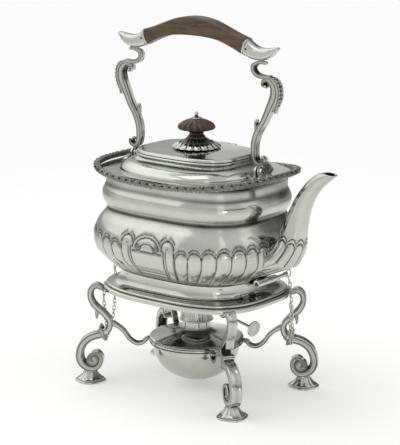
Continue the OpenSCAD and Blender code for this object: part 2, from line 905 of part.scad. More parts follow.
// Lamp: bowl, domed cover, burner neck, wick tube and wick
bowl_radius = ring_radius - ring_width - 0.5;
flange_top = ring_top + seat_gap + 0.9;
bowl_steps = 16;
bowl_sheet = 1;

function bowl_wall(inset) = [
    for (i = [0 : bowl_steps])
        let (t = 90 * i / bowl_steps)
        [(bowl_radius - inset) * pow(cos(t), 0.9), ring_top - ring_height - (bowl_depth - ring_height - inset) * sin(t)]
];

module lamp_bowl() {
    inner = bowl_wall(bowl_sheet);
    color(silver)
        rotate_extrude()
            polygon(concat(
                [[bowl_radius - bowl_sheet, flange_top], [ring_radius - 0.6, flange_top],
                [ring_radius - 0.6, ring_top + seat_gap], [bowl_radius, ring_top + seat_gap]],
                bowl_wall(0),
                [for (i = [bowl_steps : -1 : 0]) inner[i]]
            ));
}

neck_radius = sleeve_radius - 2.8;
neck_z = flange_top + 15;
sleeve_bottom = neck_z + 1.2;
cover_lip = 1.2;
sleeve_top = ring_top + sleeve_rise;
tube_radius = 8;

module lamp_cover() {
    base = flange_top + 0.1;
    r = ring_radius;
    color(silver)
        rotate_extrude()
            polygon([
                [r - 0.8, base], [r - 0.4, base + 0.5], [r - 0.8, base + 1], [r - 3, base + 1.3],
                [r * 0.72, base + 3], [neck_radius + 7, base + 5], [neck_radius + 3, base + 6],
                [neck_radius + 0.8, base + 8], [neck_radius, neck_z], [neck_radius, sleeve_top - 5],
                [tube_radius + 0.1, sleeve_top - 5], [tube_radius + 0.1, sleeve_top - 5 - cover_lip],
                [neck_radius - cover_lip, sleeve_top - 5 - cover_lip], [neck_radius - cover_lip, neck_z],
                [neck_radius - 0.4, base + 7.2], [neck_radius + 2, base + 4.8], [neck_radius + 6.6, base + 3.6],
                [r * 0.72, base + 1.7], [r - 3.2, base]
            ]);
}

module wick_tube() {
    color(silver)
        rotate_extrude()
            translate([tube_radius - 1, ring_top - 20])
                square([1, sleeve_top - ring_top + 18.8]);
}

module wick() {
    color("ivory")
        translate([0, 0, ring_top - 26])
            cylinder(h = sleeve_top - ring_top + 28, r = tube_radius - 1.1);
}

// Regulator: a sleeve that turns round the burner neck, with a stem and a thumb disc
stem_angle = -10;
stem_diameter = 2.4;
stem_drop = 8.8;
stem_reach = 1;
disc_thickness = 1.6;
stem_start_z = sleeve_top - 3.2;
disc_z = stem_start_z - stem_drop;
stem_length = disc_distance - sleeve_radius;
stem_slope = atan2(stem_drop, stem_length);

module on_stem() {
    rotate([0, 0, stem_angle])
        children();
}

module regulator_sleeve() {
    inner = neck_radius + 0.1;
    color(silver)
        difference() {
            rotate_extrude()
                polygon([
                    [inner, sleeve_bottom], [sleeve_radius - 0.3, sleeve_bottom],
                    [sleeve_radius, sleeve_bottom + 0.5], [sleeve_radius - 0.8, sleeve_bottom + 1.6],
                    [sleeve_radius - 0.8, sleeve_top - 1.4], [sleeve_radius, sleeve_top - 0.8],
                    [sleeve_radius - 0.3, sleeve_top], [inner, sleeve_top]
                ]);
            on_stem()
                translate([sleeve_radius - stem_reach, 0, stem_start_z])
                    rotate([0, 90 + stem_slope, 0])
                        cylinder(h = 2 * stem_reach, d = stem_diameter + 0.04, center = true);
        }
}

module regulator_stem() {
    color(silver)
        on_stem()
            difference() {
                translate([sleeve_radius - stem_reach, 0, stem_start_z])
                    rotate([0, 90 + stem_slope, 0])
                        cylinder(h = stem_length / cos(stem_slope), d = stem_diameter);
                cylinder(h = stand_height, r = neck_radius + 0.3);
            }
}

module thumb_disc() {
    color(silver)
        on_stem()
            difference() {
                translate([disc_distance, 0, disc_z])
                    rotate([0, 90 + stem_slope, 0])
                        cylinder(h = disc_thickness, r = thumb_disc_radius, center = true);
                translate([sleeve_radius - stem_reach, 0, stem_start_z])
                    rotate([0, 90 + stem_slope, 0])
                        cylinder(h = stem_length / cos(stem_slope), d = stem_diameter + 0.04);
            }
}

// Knuckles and locking pins at both ends, under the belly
knuckle_x = base_half_length + 9.5;
knuckle_z = stand_height + 0.6;
knuckle_gap = 0.3;
kettle_knuckle_length = knuckle_row / 3;
stand_knuckle_length = (knuckle_row - kettle_knuckle_length) / 2 - knuckle_gap;
pin_bore = lock_pin_diameter + 2 * running_fit;
web_end = knuckle_x - pin_bore / 2 - 0.2;

module kettle_knuckle() {
    lug_x = base_half_length + 4.4;
    color(silver)
        difference() {
            union() {
                translate([knuckle_x, 0, knuckle_z])
                    bar_y(kettle_knuckle_length, knuckle_diameter);
                translate([lug_x, -kettle_knuckle_length / 2, knuckle_z - 1.2])
                    cube([web_end - lug_x, kettle_knuckle_length, 3]);
            }
            translate([knuckle_x, 0, knuckle_z])
                bar_y(knuckle_row, pin_bore);
        }
}

module left_kettle_knuckle() {
    at_side(-1) kettle_knuckle();
}

module right_kettle_knuckle() {
    at_side(1) kettle_knuckle();
}

module stand_knuckles() {
    offset_y = kettle_knuckle_length / 2 + knuckle_gap + stand_knuckle_length / 2;
    web_x = collar_half_length + seat_gap;
    color(silver)
        difference() {
            for (s = [-1, 1])
                translate([0, s * offset_y, 0]) {
                    translate([knuckle_x, 0, knuckle_z])
                        bar_y(stand_knuckle_length, knuckle_diameter);
                    translate([web_x, -stand_knuckle_length / 2, knuckle_z - 2.6])
                        cube([web_end - web_x, stand_knuckle_length, 2]);
                }
            translate([knuckle_x, 0, knuckle_z])
                bar_y(2 * knuckle_row, pin_bore);
        }
}

module left_stand_knuckles() {
    at_side(-1) stand_knuckles();
}

module right_stand_knuckles() {
    at_side(1) stand_knuckles();
}

// A locking pin: rod, stop collar and pull ring. The right pin stands a little drawn out
pin_ring_radius = 3.4;
pin_ring_wire = 1.3;
pin_end = 2;
pin_far_end = 9;
right_pin_drawn = 15;
stop_collar = 1.4;
ring_reach = knuckle_row / 2 + pin_end + pin_ring_radius;

module lock_pin() {
    color(silver)
        translate([knuckle_x, 0, knuckle_z]) {
            translate([0, (pin_end - pin_far_end) / 2, 0])
                bar_y(knuckle_row + pin_end + pin_far_end, lock_pin_diameter);
            translate([0, knuckle_row / 2 + knuckle_gap + stop_collar / 2, 0])
                bar_y(stop_collar, lock_pin_diameter + 1.6);
            translate([0, ring_reach, 0])
                rotate([0, 90, 0])
                    rotate_extrude()
                        translate([pin_ring_radius, 0])
                            circle(d = pin_ring_wire);
        }
}

module left_lock_pin() {
    rotate([0, 0, 180])
        lock_pin();
}

module right_lock_pin() {
    translate([0, right_pin_drawn, 0])
        lock_pin();
}

// Chains: oval links along a slack loop from the pull ring to an eye under the plate's corner
eye_y = plate_half_length * stand_aspect * 0.62;
eye_point = [plate_edge(eye_y), eye_y, plate_under_z - 2.3];

function plate_edge(y) =
    plate_half_length * pow(1 - pow(y / (plate_half_length * stand_aspect), body_power), 1 / body_power);

// A chain's route: from the ring at ring_y, down outside the plate at fall_y, and up from the low point
chain_gap = 3;

function chain_points(ring_y, fall_y, low_y, low_z) =
    let (fall_x = plate_edge(fall_y) + chain_gap, up_x = eye_point[0] + 1)
    smooth([
        [knuckle_x + 0.4, ring_y, knuckle_z - pin_ring_radius - 1.9],
        [fall_x - 2, (ring_y + fall_y) / 2, plate_under_z + 12],
        [fall_x, fall_y, plate_under_z + 4],
        [fall_x + 1.2, fall_y, low_z + 24],
        [fall_x + 0.6, fall_y + (low_y - fall_y) / 4, low_z + 8],
        [(fall_x + up_x) / 2, low_y, low_z],
        [up_x, eye_y - (eye_y - low_y) / 4, low_z + 8],
        [up_x - 0.2, eye_y, plate_under_z - 14],
        [eye_point[0], eye_y, eye_point[2] - 3.3]
    ], 8);

function lengths(p) = [
    for (i = 0, s = 0; i < len(p); i = i + 1, s = s + (i < len(p) ? norm(p[i] - p[i - 1]) : 0)) s
];
link_pitch = link_length - 2 * chain_wire - 0.2;

function along(route, marks, s, axis) = lookup(s, [for (i = [0 : len(route) - 1]) [marks[i], route[i][axis]]]);
function route_point(route, marks, s) = [for (axis = [0 : 2]) along(route, marks, s, axis)];

module link() {
    bend = link_length / 2 - chain_wire / 2 - 1.3;
    for (s = [-1, 1]) {
        translate([0, 0, s * bend])
            rotate([90, 0, 0])
                rotate_extrude(angle = 180, start = s > 0 ? 0 : 180)
                    translate([1.3, 0])
                        circle(d = chain_wire, $fn = 16);
        translate([s * 1.3, 0, 0])
            cylinder(h = 2 * bend + eps, d = chain_wire, center = true, $fn = 16);
    }
}

module chain(route) {
    marks = lengths(route);
    total = marks[len(marks) - 1];
    count = floor(total / link_pitch);
    color(silver)
        for (k = [0 : count - 1])
            let (
                s = (k + 0.5) * total / count,
                p = route_point(route, marks, s),
                d = route_point(route, marks, min(s + 1, total)) - route_point(route, marks, max(s - 1, 0))
            )
            translate(p)
                rotate([0, acos(d[2] / norm(d)), atan2(d[1], d[0])])
                    rotate([0, 0, k % 2 == 0 ? 45 : -45])
                        link();
}

module left_chain() {
    rotate([0, 0, 180])
        chain(chain_points(ring_reach, 14, 28, plate_under_z - 46));
}

module right_chain() {
    chain(chain_points(ring_reach + right_pin_drawn, 33, 37.4, plate_under_z - 45));
}

module chain_eyes() {
    color(silver)
        for (turn = [0, 180])
            rotate([0, 0, turn])
                translate(eye_point)
                    rotate([0, 90, 30])
                        rotate_extrude()
                            translate([1.6, 0])
                                circle(d = 1, $fn = 16);
}

kettle_body();
kettle_shoulder();
rim_border();
spout();
lid_bezel();
lid();
lid_hinge_leaf();
lid_hinge_tab();
lid_hinge_pin();
knob_calyx();
knob();
knob_finial();
left_handle_lug();
right_handle_lug();
left_handle_pivot();
right_handle_pivot();
left_handle_arm();
right_handle_arm();
left_ferrule();
right_ferrule();
handle_grip();
grip_pins();
left_kettle_knuckle();
right_kettle_knuckle();
stand_plate();
left_stand_knuckles();
right_stand_knuckles();
front_right_leg();
front_left_leg();
back_right_leg();
back_left_leg();
front_right_foot();
front_left_foot();
back_right_foot();
back_left_foot();
front_right_stretcher();
front_left_stretcher();
back_right_stretcher();
back_left_stretcher();
lamp_ring();
left_lock_pin();
right_lock_pin();
left_chain();
right_chain();
chain_eyes();
lamp_bowl();
lamp_cover();
wick_tube();
wick();
regulator_sleeve();
regulator_stem();
thumb_disc();
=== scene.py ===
# %% [markdown]
# Silver spirit kettle on its stand
#
# The real object is a hammered and chased silver kettle with a swing handle. It stands on four
# scrolled legs over a small spirit lamp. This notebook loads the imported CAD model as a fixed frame.
# It then makes the shapes that the eye sees around that frame, one piece at a time.
# Sizes are written in millimetres, as a silversmith would, and turned to metres once.

import bpy
import bmesh
import math
import numpy as np
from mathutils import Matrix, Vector


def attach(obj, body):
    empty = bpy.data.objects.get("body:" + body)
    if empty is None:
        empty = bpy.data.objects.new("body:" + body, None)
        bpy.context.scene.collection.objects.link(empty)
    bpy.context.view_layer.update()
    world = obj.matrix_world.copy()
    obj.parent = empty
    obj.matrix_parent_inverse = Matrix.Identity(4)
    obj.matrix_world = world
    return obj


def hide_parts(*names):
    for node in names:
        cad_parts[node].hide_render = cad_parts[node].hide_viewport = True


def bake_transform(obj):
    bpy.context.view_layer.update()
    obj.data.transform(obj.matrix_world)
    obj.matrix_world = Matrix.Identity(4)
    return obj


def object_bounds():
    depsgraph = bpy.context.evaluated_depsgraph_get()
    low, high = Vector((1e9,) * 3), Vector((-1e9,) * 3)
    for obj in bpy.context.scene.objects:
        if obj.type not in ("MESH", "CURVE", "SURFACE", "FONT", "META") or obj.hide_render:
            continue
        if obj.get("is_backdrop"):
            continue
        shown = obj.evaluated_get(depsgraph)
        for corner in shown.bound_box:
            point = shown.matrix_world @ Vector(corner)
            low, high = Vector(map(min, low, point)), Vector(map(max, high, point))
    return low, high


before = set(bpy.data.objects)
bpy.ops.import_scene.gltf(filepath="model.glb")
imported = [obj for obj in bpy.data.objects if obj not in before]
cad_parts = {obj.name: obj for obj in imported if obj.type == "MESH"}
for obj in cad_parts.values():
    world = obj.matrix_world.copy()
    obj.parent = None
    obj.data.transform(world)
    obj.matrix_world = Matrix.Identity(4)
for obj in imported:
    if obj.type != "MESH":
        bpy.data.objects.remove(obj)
cad_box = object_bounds()
MM = 0.001
print("CAD box in mm", [[round(v / MM, 1) for v in corner] for corner in cad_box])

# %% [markdown]
# Colours are given as sRGB hex values, the way a paint chart gives them. Blender's nodes work with
# linear light, so one function turns a hex value to linear. One more function adds a shader node,
# sets its values and links its inputs, which keeps each finish below short enough to read.


# %% Colour and node helpers
def linear(hex_value):
    channels = [int(hex_value[i:i + 2], 16) / 255 for i in (1, 3, 5)]
    return [c / 12.92 if c <= 0.04045 else ((c + 0.055) / 1.055) ** 2.4 for c in channels] + [1.0]


def add_node(tree, kind, settings=None, **inputs):
    """Adds a node. settings are its properties. Inputs are values, or sockets to link."""
    node = tree.nodes.new(kind)
    for key, value in (settings or {}).items():
        setattr(node, key, value)
    for key, value in inputs.items():
        wanted = key.replace("_", " ").lower()
        found = [s for s in node.inputs if s.name.lower() == wanted and s.enabled]
        socket = node.inputs[int(key[1:])] if key[0] == "i" and key[1:].isdigit() else found[0]
        if isinstance(value, bpy.types.NodeSocket):
            tree.links.new(value, socket)
        else:
            socket.default_value = value
    return node


def new_material(name):
    made = bpy.data.materials.new(name)
    made.use_nodes = True
    tree = made.node_tree
    tree.nodes.clear()
    output = tree.nodes.new("ShaderNodeOutputMaterial")
    surface = tree.nodes.new("ShaderNodeBsdfPrincipled")
    tree.links.new(surface.outputs[0], output.inputs["Surface"])
    return made, tree, surface, output


def feed(tree, source, surface, socket):
    tree.links.new(source, surface.inputs[socket])


# %% [markdown]
# The camera stands where the photographer's did. Its place comes from a least-squares fit of the
# stand's feet, plate and rim to the photograph. The lens is long, so the lines hardly converge.

# %% Camera
CAMERA_DISTANCE = 1.6141
CAMERA_AZIMUTH = math.radians(38.3)
CAMERA_HEIGHT_ANGLE = math.radians(13.45)
AIM_HEIGHT = 0.1524
IMAGE_HEIGHT = 445
FOCAL_PIXELS = 1786.0
SENSOR_HEIGHT = 36
SHIFT_PIXELS = 3.5
camera_data = bpy.data.cameras.new("studio_camera")
camera = bpy.data.objects.new("studio_camera", camera_data)
bpy.context.scene.collection.objects.link(camera)
towards = Vector((
    math.sin(CAMERA_AZIMUTH) * math.cos(CAMERA_HEIGHT_ANGLE),
    -math.cos(CAMERA_AZIMUTH) * math.cos(CAMERA_HEIGHT_ANGLE),
    math.sin(CAMERA_HEIGHT_ANGLE)))
camera.location = Vector((0, 0, AIM_HEIGHT)) + CAMERA_DISTANCE * towards
camera.rotation_euler = towards.to_track_quat("Z", "Y").to_euler()
camera_data.sensor_fit = "VERTICAL"
camera_data.sensor_height = SENSOR_HEIGHT
camera_data.lens = SENSOR_HEIGHT * FOCAL_PIXELS / IMAGE_HEIGHT
camera_data.shift_x = SHIFT_PIXELS / IMAGE_HEIGHT
camera_data.clip_end = 50
bpy.context.scene.camera = camera
bpy.context.scene.view_settings.view_transform = "Standard"
print("lens in mm", round(camera_data.lens, 1))

# %% [markdown]
# The camera sees white paper, and the silver reflects a studio. That studio is graded by height:
# pale in front, dimmer at the back left, and a dark room at the back right. One dark shape stands at
# the height of the camera, to its right. Three bright fields are a large softbox at the left, a
# narrow one in front and a pale wall at the right.

# %% World
IN_FRONT = ((0.0, "#e8e9e6"), (0.1, "#dcddda"), (0.28, "#d2d3d0"), (0.45, "#dadbd8"), (0.7, "#e8e9e6"),
            (1.0, "#dfe0dd"))
BACK_LEFT = ((0.0, "#aeb0ac"), (0.16, "#b0b2ae"), (0.3, "#bfc1bd"), (0.42, "#d6d7d4"), (0.6, "#e6e7e4"),
             (1.0, "#dfe0dd"))
BACK_RIGHT = ((0.0, "#9a9c98"), (0.14, "#6c6e6a"), (0.28, "#4a4c49"), (0.5, "#6c6e6a"), (0.7, "#b4b6b2"),
              (0.82, "#eeeeec"))
world = bpy.data.worlds.new("white_studio")
bpy.context.scene.world = world
world.use_nodes = True
sky = world.node_tree
sky.nodes.clear()
direction = add_node(sky, "ShaderNodeTexCoord").outputs["Generated"]
height = add_node(sky, "ShaderNodeSeparateXYZ", Vector=direction).outputs["Z"]
graded = []
for stops in (IN_FRONT, BACK_LEFT, BACK_RIGHT):
    ramp_node = add_node(sky, "ShaderNodeValToRGB", Fac=height)
    elements = ramp_node.color_ramp.elements
    for element, (place, shade) in ((elements[0], stops[0]), (elements[1], stops[-1])):
        element.position, element.color = place, linear(shade)
    for place, shade in stops[1:-1]:
        elements.new(place).color = linear(shade)
    graded.append(ramp_node.outputs["Color"])

# The bearing is the angle round the kettle, in radians from the photographer, to their right
ahead = (math.sin(CAMERA_AZIMUTH), -math.cos(CAMERA_AZIMUTH), 0.0)
reaches = []
for way in (ahead, (-ahead[1], ahead[0], 0.0)):
    reach = add_node(sky, "ShaderNodeVectorMath", {"operation": "DOT_PRODUCT"}, i0=direction, i1=way)
    reaches.append(reach.outputs["Value"])
bearing = add_node(sky, "ShaderNodeMath", {"operation": "ARCTAN2"}, i0=reaches[1], i1=reaches[0]).outputs[0]


def field(*edges):
    """A part of the studio with soft edges. Each edge is a value, where it begins and where it is full."""
    share = 1.0
    for value, begin, full in edges:
        edge = add_node(sky, "ShaderNodeMapRange", {"interpolation_type": "SMOOTHSTEP"}, Value=value,
                        From_Min=begin, From_Max=full).outputs[0]
        share = add_node(sky, "ShaderNodeMath", {"operation": "MULTIPLY"}, i0=share, i1=edge).outputs[0]
    return share


back_left = field((bearing, -1.65, -2.25))
dark_room = field((bearing, 1.62, 2.05), (bearing, 3.14, 2.85))
dark_shape = field((bearing, 0.02, 0.2), (bearing, 1.25, 1.0), (height, 0.17, 0.22), (height, 0.38, 0.3))
around = graded[0]
for share, shade in ((back_left, graded[1]), (dark_room, graded[2]), (dark_shape, linear("#77797a"))):
    around = add_node(sky, "ShaderNodeMix", {"data_type": "RGBA"}, i0=share, i6=around, i7=shade).outputs[2]
softbox_left = field((bearing, -1.08, -1.2), (bearing, -2.95, -2.75), (height, 0.12, 0.2), (height, 0.86, 0.78))
softbox_front = field((bearing, -0.13, -0.06), (bearing, 0.17, 0.1), (height, 0.92, 0.85))
pale_wall = field((bearing, 0.95, 1.1), (bearing, 1.75, 1.6), (height, 0.3, 0.42), (height, 0.86, 0.76))
power = 1.04
for share, extra in ((softbox_left, 0.85), (softbox_front, 0.5), (pale_wall, 0.35)):
    power = add_node(sky, "ShaderNodeMath", {"operation": "MULTIPLY_ADD"}, i0=share, i1=extra, i2=power).outputs[0]
studio = add_node(sky, "ShaderNodeBackground", Color=around, Strength=power)
paper = add_node(sky, "ShaderNodeBackground", Color=linear("#fbfbfb"), Strength=1.0)
seen = add_node(sky, "ShaderNodeLightPath").outputs["Is Camera Ray"]
both = add_node(sky, "ShaderNodeMixShader", i0=seen, i1=studio.outputs[0], i2=paper.outputs[0])
world_output = sky.nodes.new("ShaderNodeOutputWorld")
sky.links.new(both.outputs[0], world_output.inputs["Surface"])

# %% Softboxes


def softbox(name, place, size, watts, aim=(0, 0, 0.15)):
    data = bpy.data.lights.new(name, "AREA")
    data.shape = "RECTANGLE"
    data.size, data.size_y = size
    data.energy = watts
    lamp = bpy.data.objects.new(name, data)
    bpy.context.scene.collection.objects.link(lamp)
    lamp.location = place
    lamp.rotation_euler = (Vector(place) - Vector(aim)).to_track_quat("Z", "Y").to_euler()


softbox("overhead_softbox", (-0.3, -0.3, 2.0), (1.0, 1.0), 3.5)
softbox("front_softbox", (1.16, -1.02, 0.24), (0.3, 0.36), 0.4)

# %% [markdown]
# The floor is a sheet of white paper. It is a flat disc whose edge fades out to the white world, so
# no horizon line shows. A little emission that only the camera and reflections see lifts it to
# paper white, and the soft shadow under the kettle stays.

# %% Floor
FLOOR_RADIUS = 2.4
bpy.ops.mesh.primitive_circle_add(vertices=96, radius=FLOOR_RADIUS, fill_type="NGON")
floor = bpy.context.object
floor.name = "paper_floor"
floor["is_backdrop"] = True
paper_sheet, tree, surface, output = new_material("white_background_paper")
surface.inputs["Base Color"].default_value = linear("#f1f1ef")
surface.inputs["Roughness"].default_value = 0.9
path = add_node(tree, "ShaderNodeLightPath").outputs
lifted = add_node(tree, "ShaderNodeMath", {"operation": "MAXIMUM"},
                  i0=path["Is Camera Ray"], i1=path["Is Glossy Ray"]).outputs[0]
lift = add_node(tree, "ShaderNodeMath", {"operation": "MULTIPLY"}, i0=lifted, i1=0.24).outputs[0]
glow = add_node(tree, "ShaderNodeEmission", Color=linear("#ffffff"), Strength=lift)
lit = add_node(tree, "ShaderNodeAddShader", i0=surface.outputs[0], i1=glow.outputs[0])
place = add_node(tree, "ShaderNodeTexCoord").outputs["Object"]
far = add_node(tree, "ShaderNodeVectorMath", {"operation": "LENGTH"}, i0=place).outputs["Value"]
fade = add_node(tree, "ShaderNodeMapRange", Value=far, From_Min=0.45, From_Max=1.1).outputs[0]
clear = add_node(tree, "ShaderNodeBsdfTransparent")
blended = add_node(tree, "ShaderNodeMixShader", i0=fade, i1=lit.outputs[0], i2=clear.outputs[0])
tree.links.new(blended.outputs[0], output.inputs["Surface"])
floor.data.materials.append(paper_sheet)

# %% [markdown]
# Sterling silver that was hammered, planished, chased and then polished by hand for a century.
# It is a pale, faintly warm metal with a soft, slightly uneven shine: the planishing leaves shallow
# hollows some 15 mm across, and fine cleaning marks spread the highlights. Tarnish stays dark in
# the grooves that a cloth can't reach. Each mesh carries that as a value on its points, and the same
# value also holds painted shade: on the inner sides of the scrolls, in the curls of the legs, under
# the knob and along the foot of the body.

# %% Silver finishes
POLISHED_SILVER = "#c3c6bf"
# The dark end of the silver's tone: tarnish, and also the painted shade that some meshes carry
OXIDE_AND_SHADE_SILVER = "#25241f"


def silver(name, shine=0.11, waves=0.28, fine=0.15, specks=0.0):
    made, tree, surface, output = new_material(name)
    surface.inputs["Metallic"].default_value = 1.0
    place = add_node(tree, "ShaderNodeTexCoord").outputs["Object"]
    # Tarnish in the hollows, and painted shade where a mesh asks for it, read from each point
    patina_and_painted_shade = add_node(tree, "ShaderNodeAttribute", {"attribute_name": "patina_and_painted_shade"}).outputs["Fac"]
    # Clouds of slightly duller silver, about 25 mm across, and in one finish specks of 1 to 2 mm
    clouds = add_node(tree, "ShaderNodeTexNoise", Vector=place, Scale=40.0, Detail=4.0).outputs["Fac"]
    dull = add_node(tree, "ShaderNodeMapRange", Value=clouds, From_Min=0.45, From_Max=0.8,
                    To_Min=0.0, To_Max=0.14).outputs[0]
    tarnish_and_shade = add_node(tree, "ShaderNodeMath", {"operation": "ADD", "use_clamp": True}, i0=patina_and_painted_shade, i1=dull)
    if specks:
        small = add_node(tree, "ShaderNodeTexNoise", Vector=place, Scale=620.0, Detail=3.0,
                         Roughness=0.6).outputs["Fac"]
        spots = add_node(tree, "ShaderNodeMapRange", Value=small, From_Min=0.4, From_Max=0.6, To_Min=0.0,
                         To_Max=specks)
        tarnish_and_shade = add_node(tree, "ShaderNodeMath", {"operation": "MAXIMUM"}, i0=tarnish_and_shade.outputs[0], i1=spots.outputs[0])
    tone = add_node(tree, "ShaderNodeMix", {"data_type": "RGBA"}, i0=tarnish_and_shade.outputs[0],
                    i6=linear(POLISHED_SILVER), i7=linear(OXIDE_AND_SHADE_SILVER)).outputs[2]
    feed(tree, tone, surface, "Base Color")
    rough = add_node(tree, "ShaderNodeMapRange", Value=tarnish_and_shade.outputs[0], To_Min=shine, To_Max=shine + 0.3)
    feed(tree, rough.outputs[0], surface, "Roughness")
    # Planished hollows and fine cleaning marks
    hollows = add_node(tree, "ShaderNodeTexNoise", Vector=place, Scale=55.0, Detail=2.0).outputs["Fac"]
    marks = add_node(tree, "ShaderNodeTexNoise", Vector=place, Scale=900.0, Detail=3.0).outputs["Fac"]
    wave = add_node(tree, "ShaderNodeBump", Height=hollows, Strength=waves, Distance=0.0012).outputs[0]
    both = add_node(tree, "ShaderNodeBump", Height=marks, Strength=fine, Distance=0.00012, Normal=wave)
    feed(tree, both.outputs[0], surface, "Normal")
    return made


planished_silver = silver("planished_sterling_silver")
turned_silver = silver("turned_and_polished_silver", shine=0.07, waves=0.12)
cast_silver = silver("cast_and_chased_silver", shine=0.1, waves=0.7, fine=0.3)
# The border is cast with tiny leaves. Tarnish in its many small hollows shows as specks of 1 to 2 mm
border_silver = silver("tarnished_cast_border_silver", shine=0.2, waves=0.9, fine=0.6, specks=0.75)

# %% [markdown]
# The grip and the knob are rosewood, cut, shaped and waxed. Rosewood is a dark red-brown wood with
# narrow near-black bands along the grain, two to five millimetres apart. A stretched noise gives
# bands that run along the piece, a finer one gives the pores, and wax gives a soft broad shine.


# %% Rosewood
def rosewood(name, light, dark, stretch):
    made, tree, surface, output = new_material(name)
    place = add_node(tree, "ShaderNodeTexCoord").outputs["Object"]
    grain = add_node(tree, "ShaderNodeMapping", Vector=place, Scale=stretch).outputs[0]
    bands = add_node(tree, "ShaderNodeTexNoise", Vector=grain, Scale=260.0, Detail=4.0,
                     Roughness=0.6, Distortion=0.6).outputs["Fac"]
    pores = add_node(tree, "ShaderNodeTexNoise", Vector=grain, Scale=1500.0, Detail=2.0).outputs["Fac"]
    stripe = add_node(tree, "ShaderNodeMapRange", Value=bands, From_Min=0.35, From_Max=0.66).outputs[0]
    patina_and_painted_shade = add_node(tree, "ShaderNodeAttribute", {"attribute_name": "patina_and_painted_shade"}).outputs["Fac"]
    darker = add_node(tree, "ShaderNodeMath", {"operation": "MAXIMUM"}, i0=stripe, i1=patina_and_painted_shade).outputs[0]
    tone = add_node(tree, "ShaderNodeMix", {"data_type": "RGBA"}, i0=darker, i6=linear(light),
                    i7=linear(dark)).outputs[2]
    feed(tree, tone, surface, "Base Color")
    rough = add_node(tree, "ShaderNodeMapRange", Value=pores, To_Min=0.26, To_Max=0.46)
    feed(tree, rough.outputs[0], surface, "Roughness")
    bump = add_node(tree, "ShaderNodeBump", Height=pores, Strength=0.25, Distance=0.0002).outputs[0]
    feed(tree, bump, surface, "Normal")
    surface.inputs["Coat Weight"].default_value = 0.12
    surface.inputs["Coat Roughness"].default_value = 0.2
    return made


grip_wood = rosewood("waxed_rosewood_grip", "#604527", "#2f1f10", (0.12, 1.0, 1.0))
knob_wood = rosewood("turned_rosewood_knob", "#50331f", "#1c100a", (1.0, 1.0, 0.25))

# %% [markdown]
# The silversmith raises most of this kettle as cushion-shaped rings: an ellipse whose corners are
# pushed out by a power. A few numpy helpers draw those rings, smooth curves and lofted surfaces.
# Every helper works in millimetres, in the CAD frame: z = 0 on the table, the spout towards +X.


# %% Curves and rings
def bent(value, power):
    return np.sign(value) * np.abs(value) ** (2 / power)


def even_angles(half_length, half_width, power, count):
    """Angles whose points lie evenly spaced along a cushion-shaped ring."""
    t = np.linspace(0, 2 * math.pi, 8001)
    x, y = half_length * bent(np.cos(t), power), half_width * bent(np.sin(t), power)
    along = np.concatenate([[0], np.cumsum(np.hypot(np.diff(x), np.diff(y)))])
    return np.interp(np.arange(count) * along[-1] / count, along, t)


def ring(half_length, half_width, z, power, angles, lift=0.0):
    x = half_length * bent(np.cos(angles), power)
    y = half_width * bent(np.sin(angles), power)
    return np.stack([x, y, z + lift * (2 * (x / half_length) ** 2 - 1)], axis=1)


def curve(points, steps):
    """A smooth curve through the points, with steps points on each span."""
    p = np.array(points, float)
    made = []
    for i in range(len(p) - 1):
        p0, p1, p2, p3 = p[max(i - 1, 0)], p[i], p[i + 1], p[min(i + 2, len(p) - 1)]
        for t in np.arange(steps) / steps:
            made.append((2 * p1 + (p2 - p0) * t + (2 * p0 - 5 * p1 + 4 * p2 - p3) * t ** 2
                         + (3 * p1 - p0 - 3 * p2 + p3) * t ** 3) / 2)
    return np.array(made + [p[-1]])


def spread(points, count):
    """The same line, with count points evenly spaced along it."""
    p = np.array(points, float)
    along = np.concatenate([[0], np.cumsum(np.linalg.norm(np.diff(p, axis=0), axis=1))])
    wanted = np.linspace(0, along[-1], count)
    return np.stack([np.interp(wanted, along, p[:, k]) for k in range(p.shape[1])], axis=1)


def turned(points, degrees):
    """Turns points round the upright axis."""
    a = math.radians(degrees)
    x, y = points[..., 0], points[..., 1]
    return np.stack([x * math.cos(a) - y * math.sin(a), x * math.sin(a) + y * math.cos(a), points[..., 2]], -1)


def round_trip(count):
    """Even angles once round a circle."""
    return 2 * math.pi * np.arange(count) / count


# %% Surfaces
STRAP_SIDES = 44
# How dark the painted shade on the inner sides of the cast scrolls is
CURL_PAINTED_SHADE = 0.95


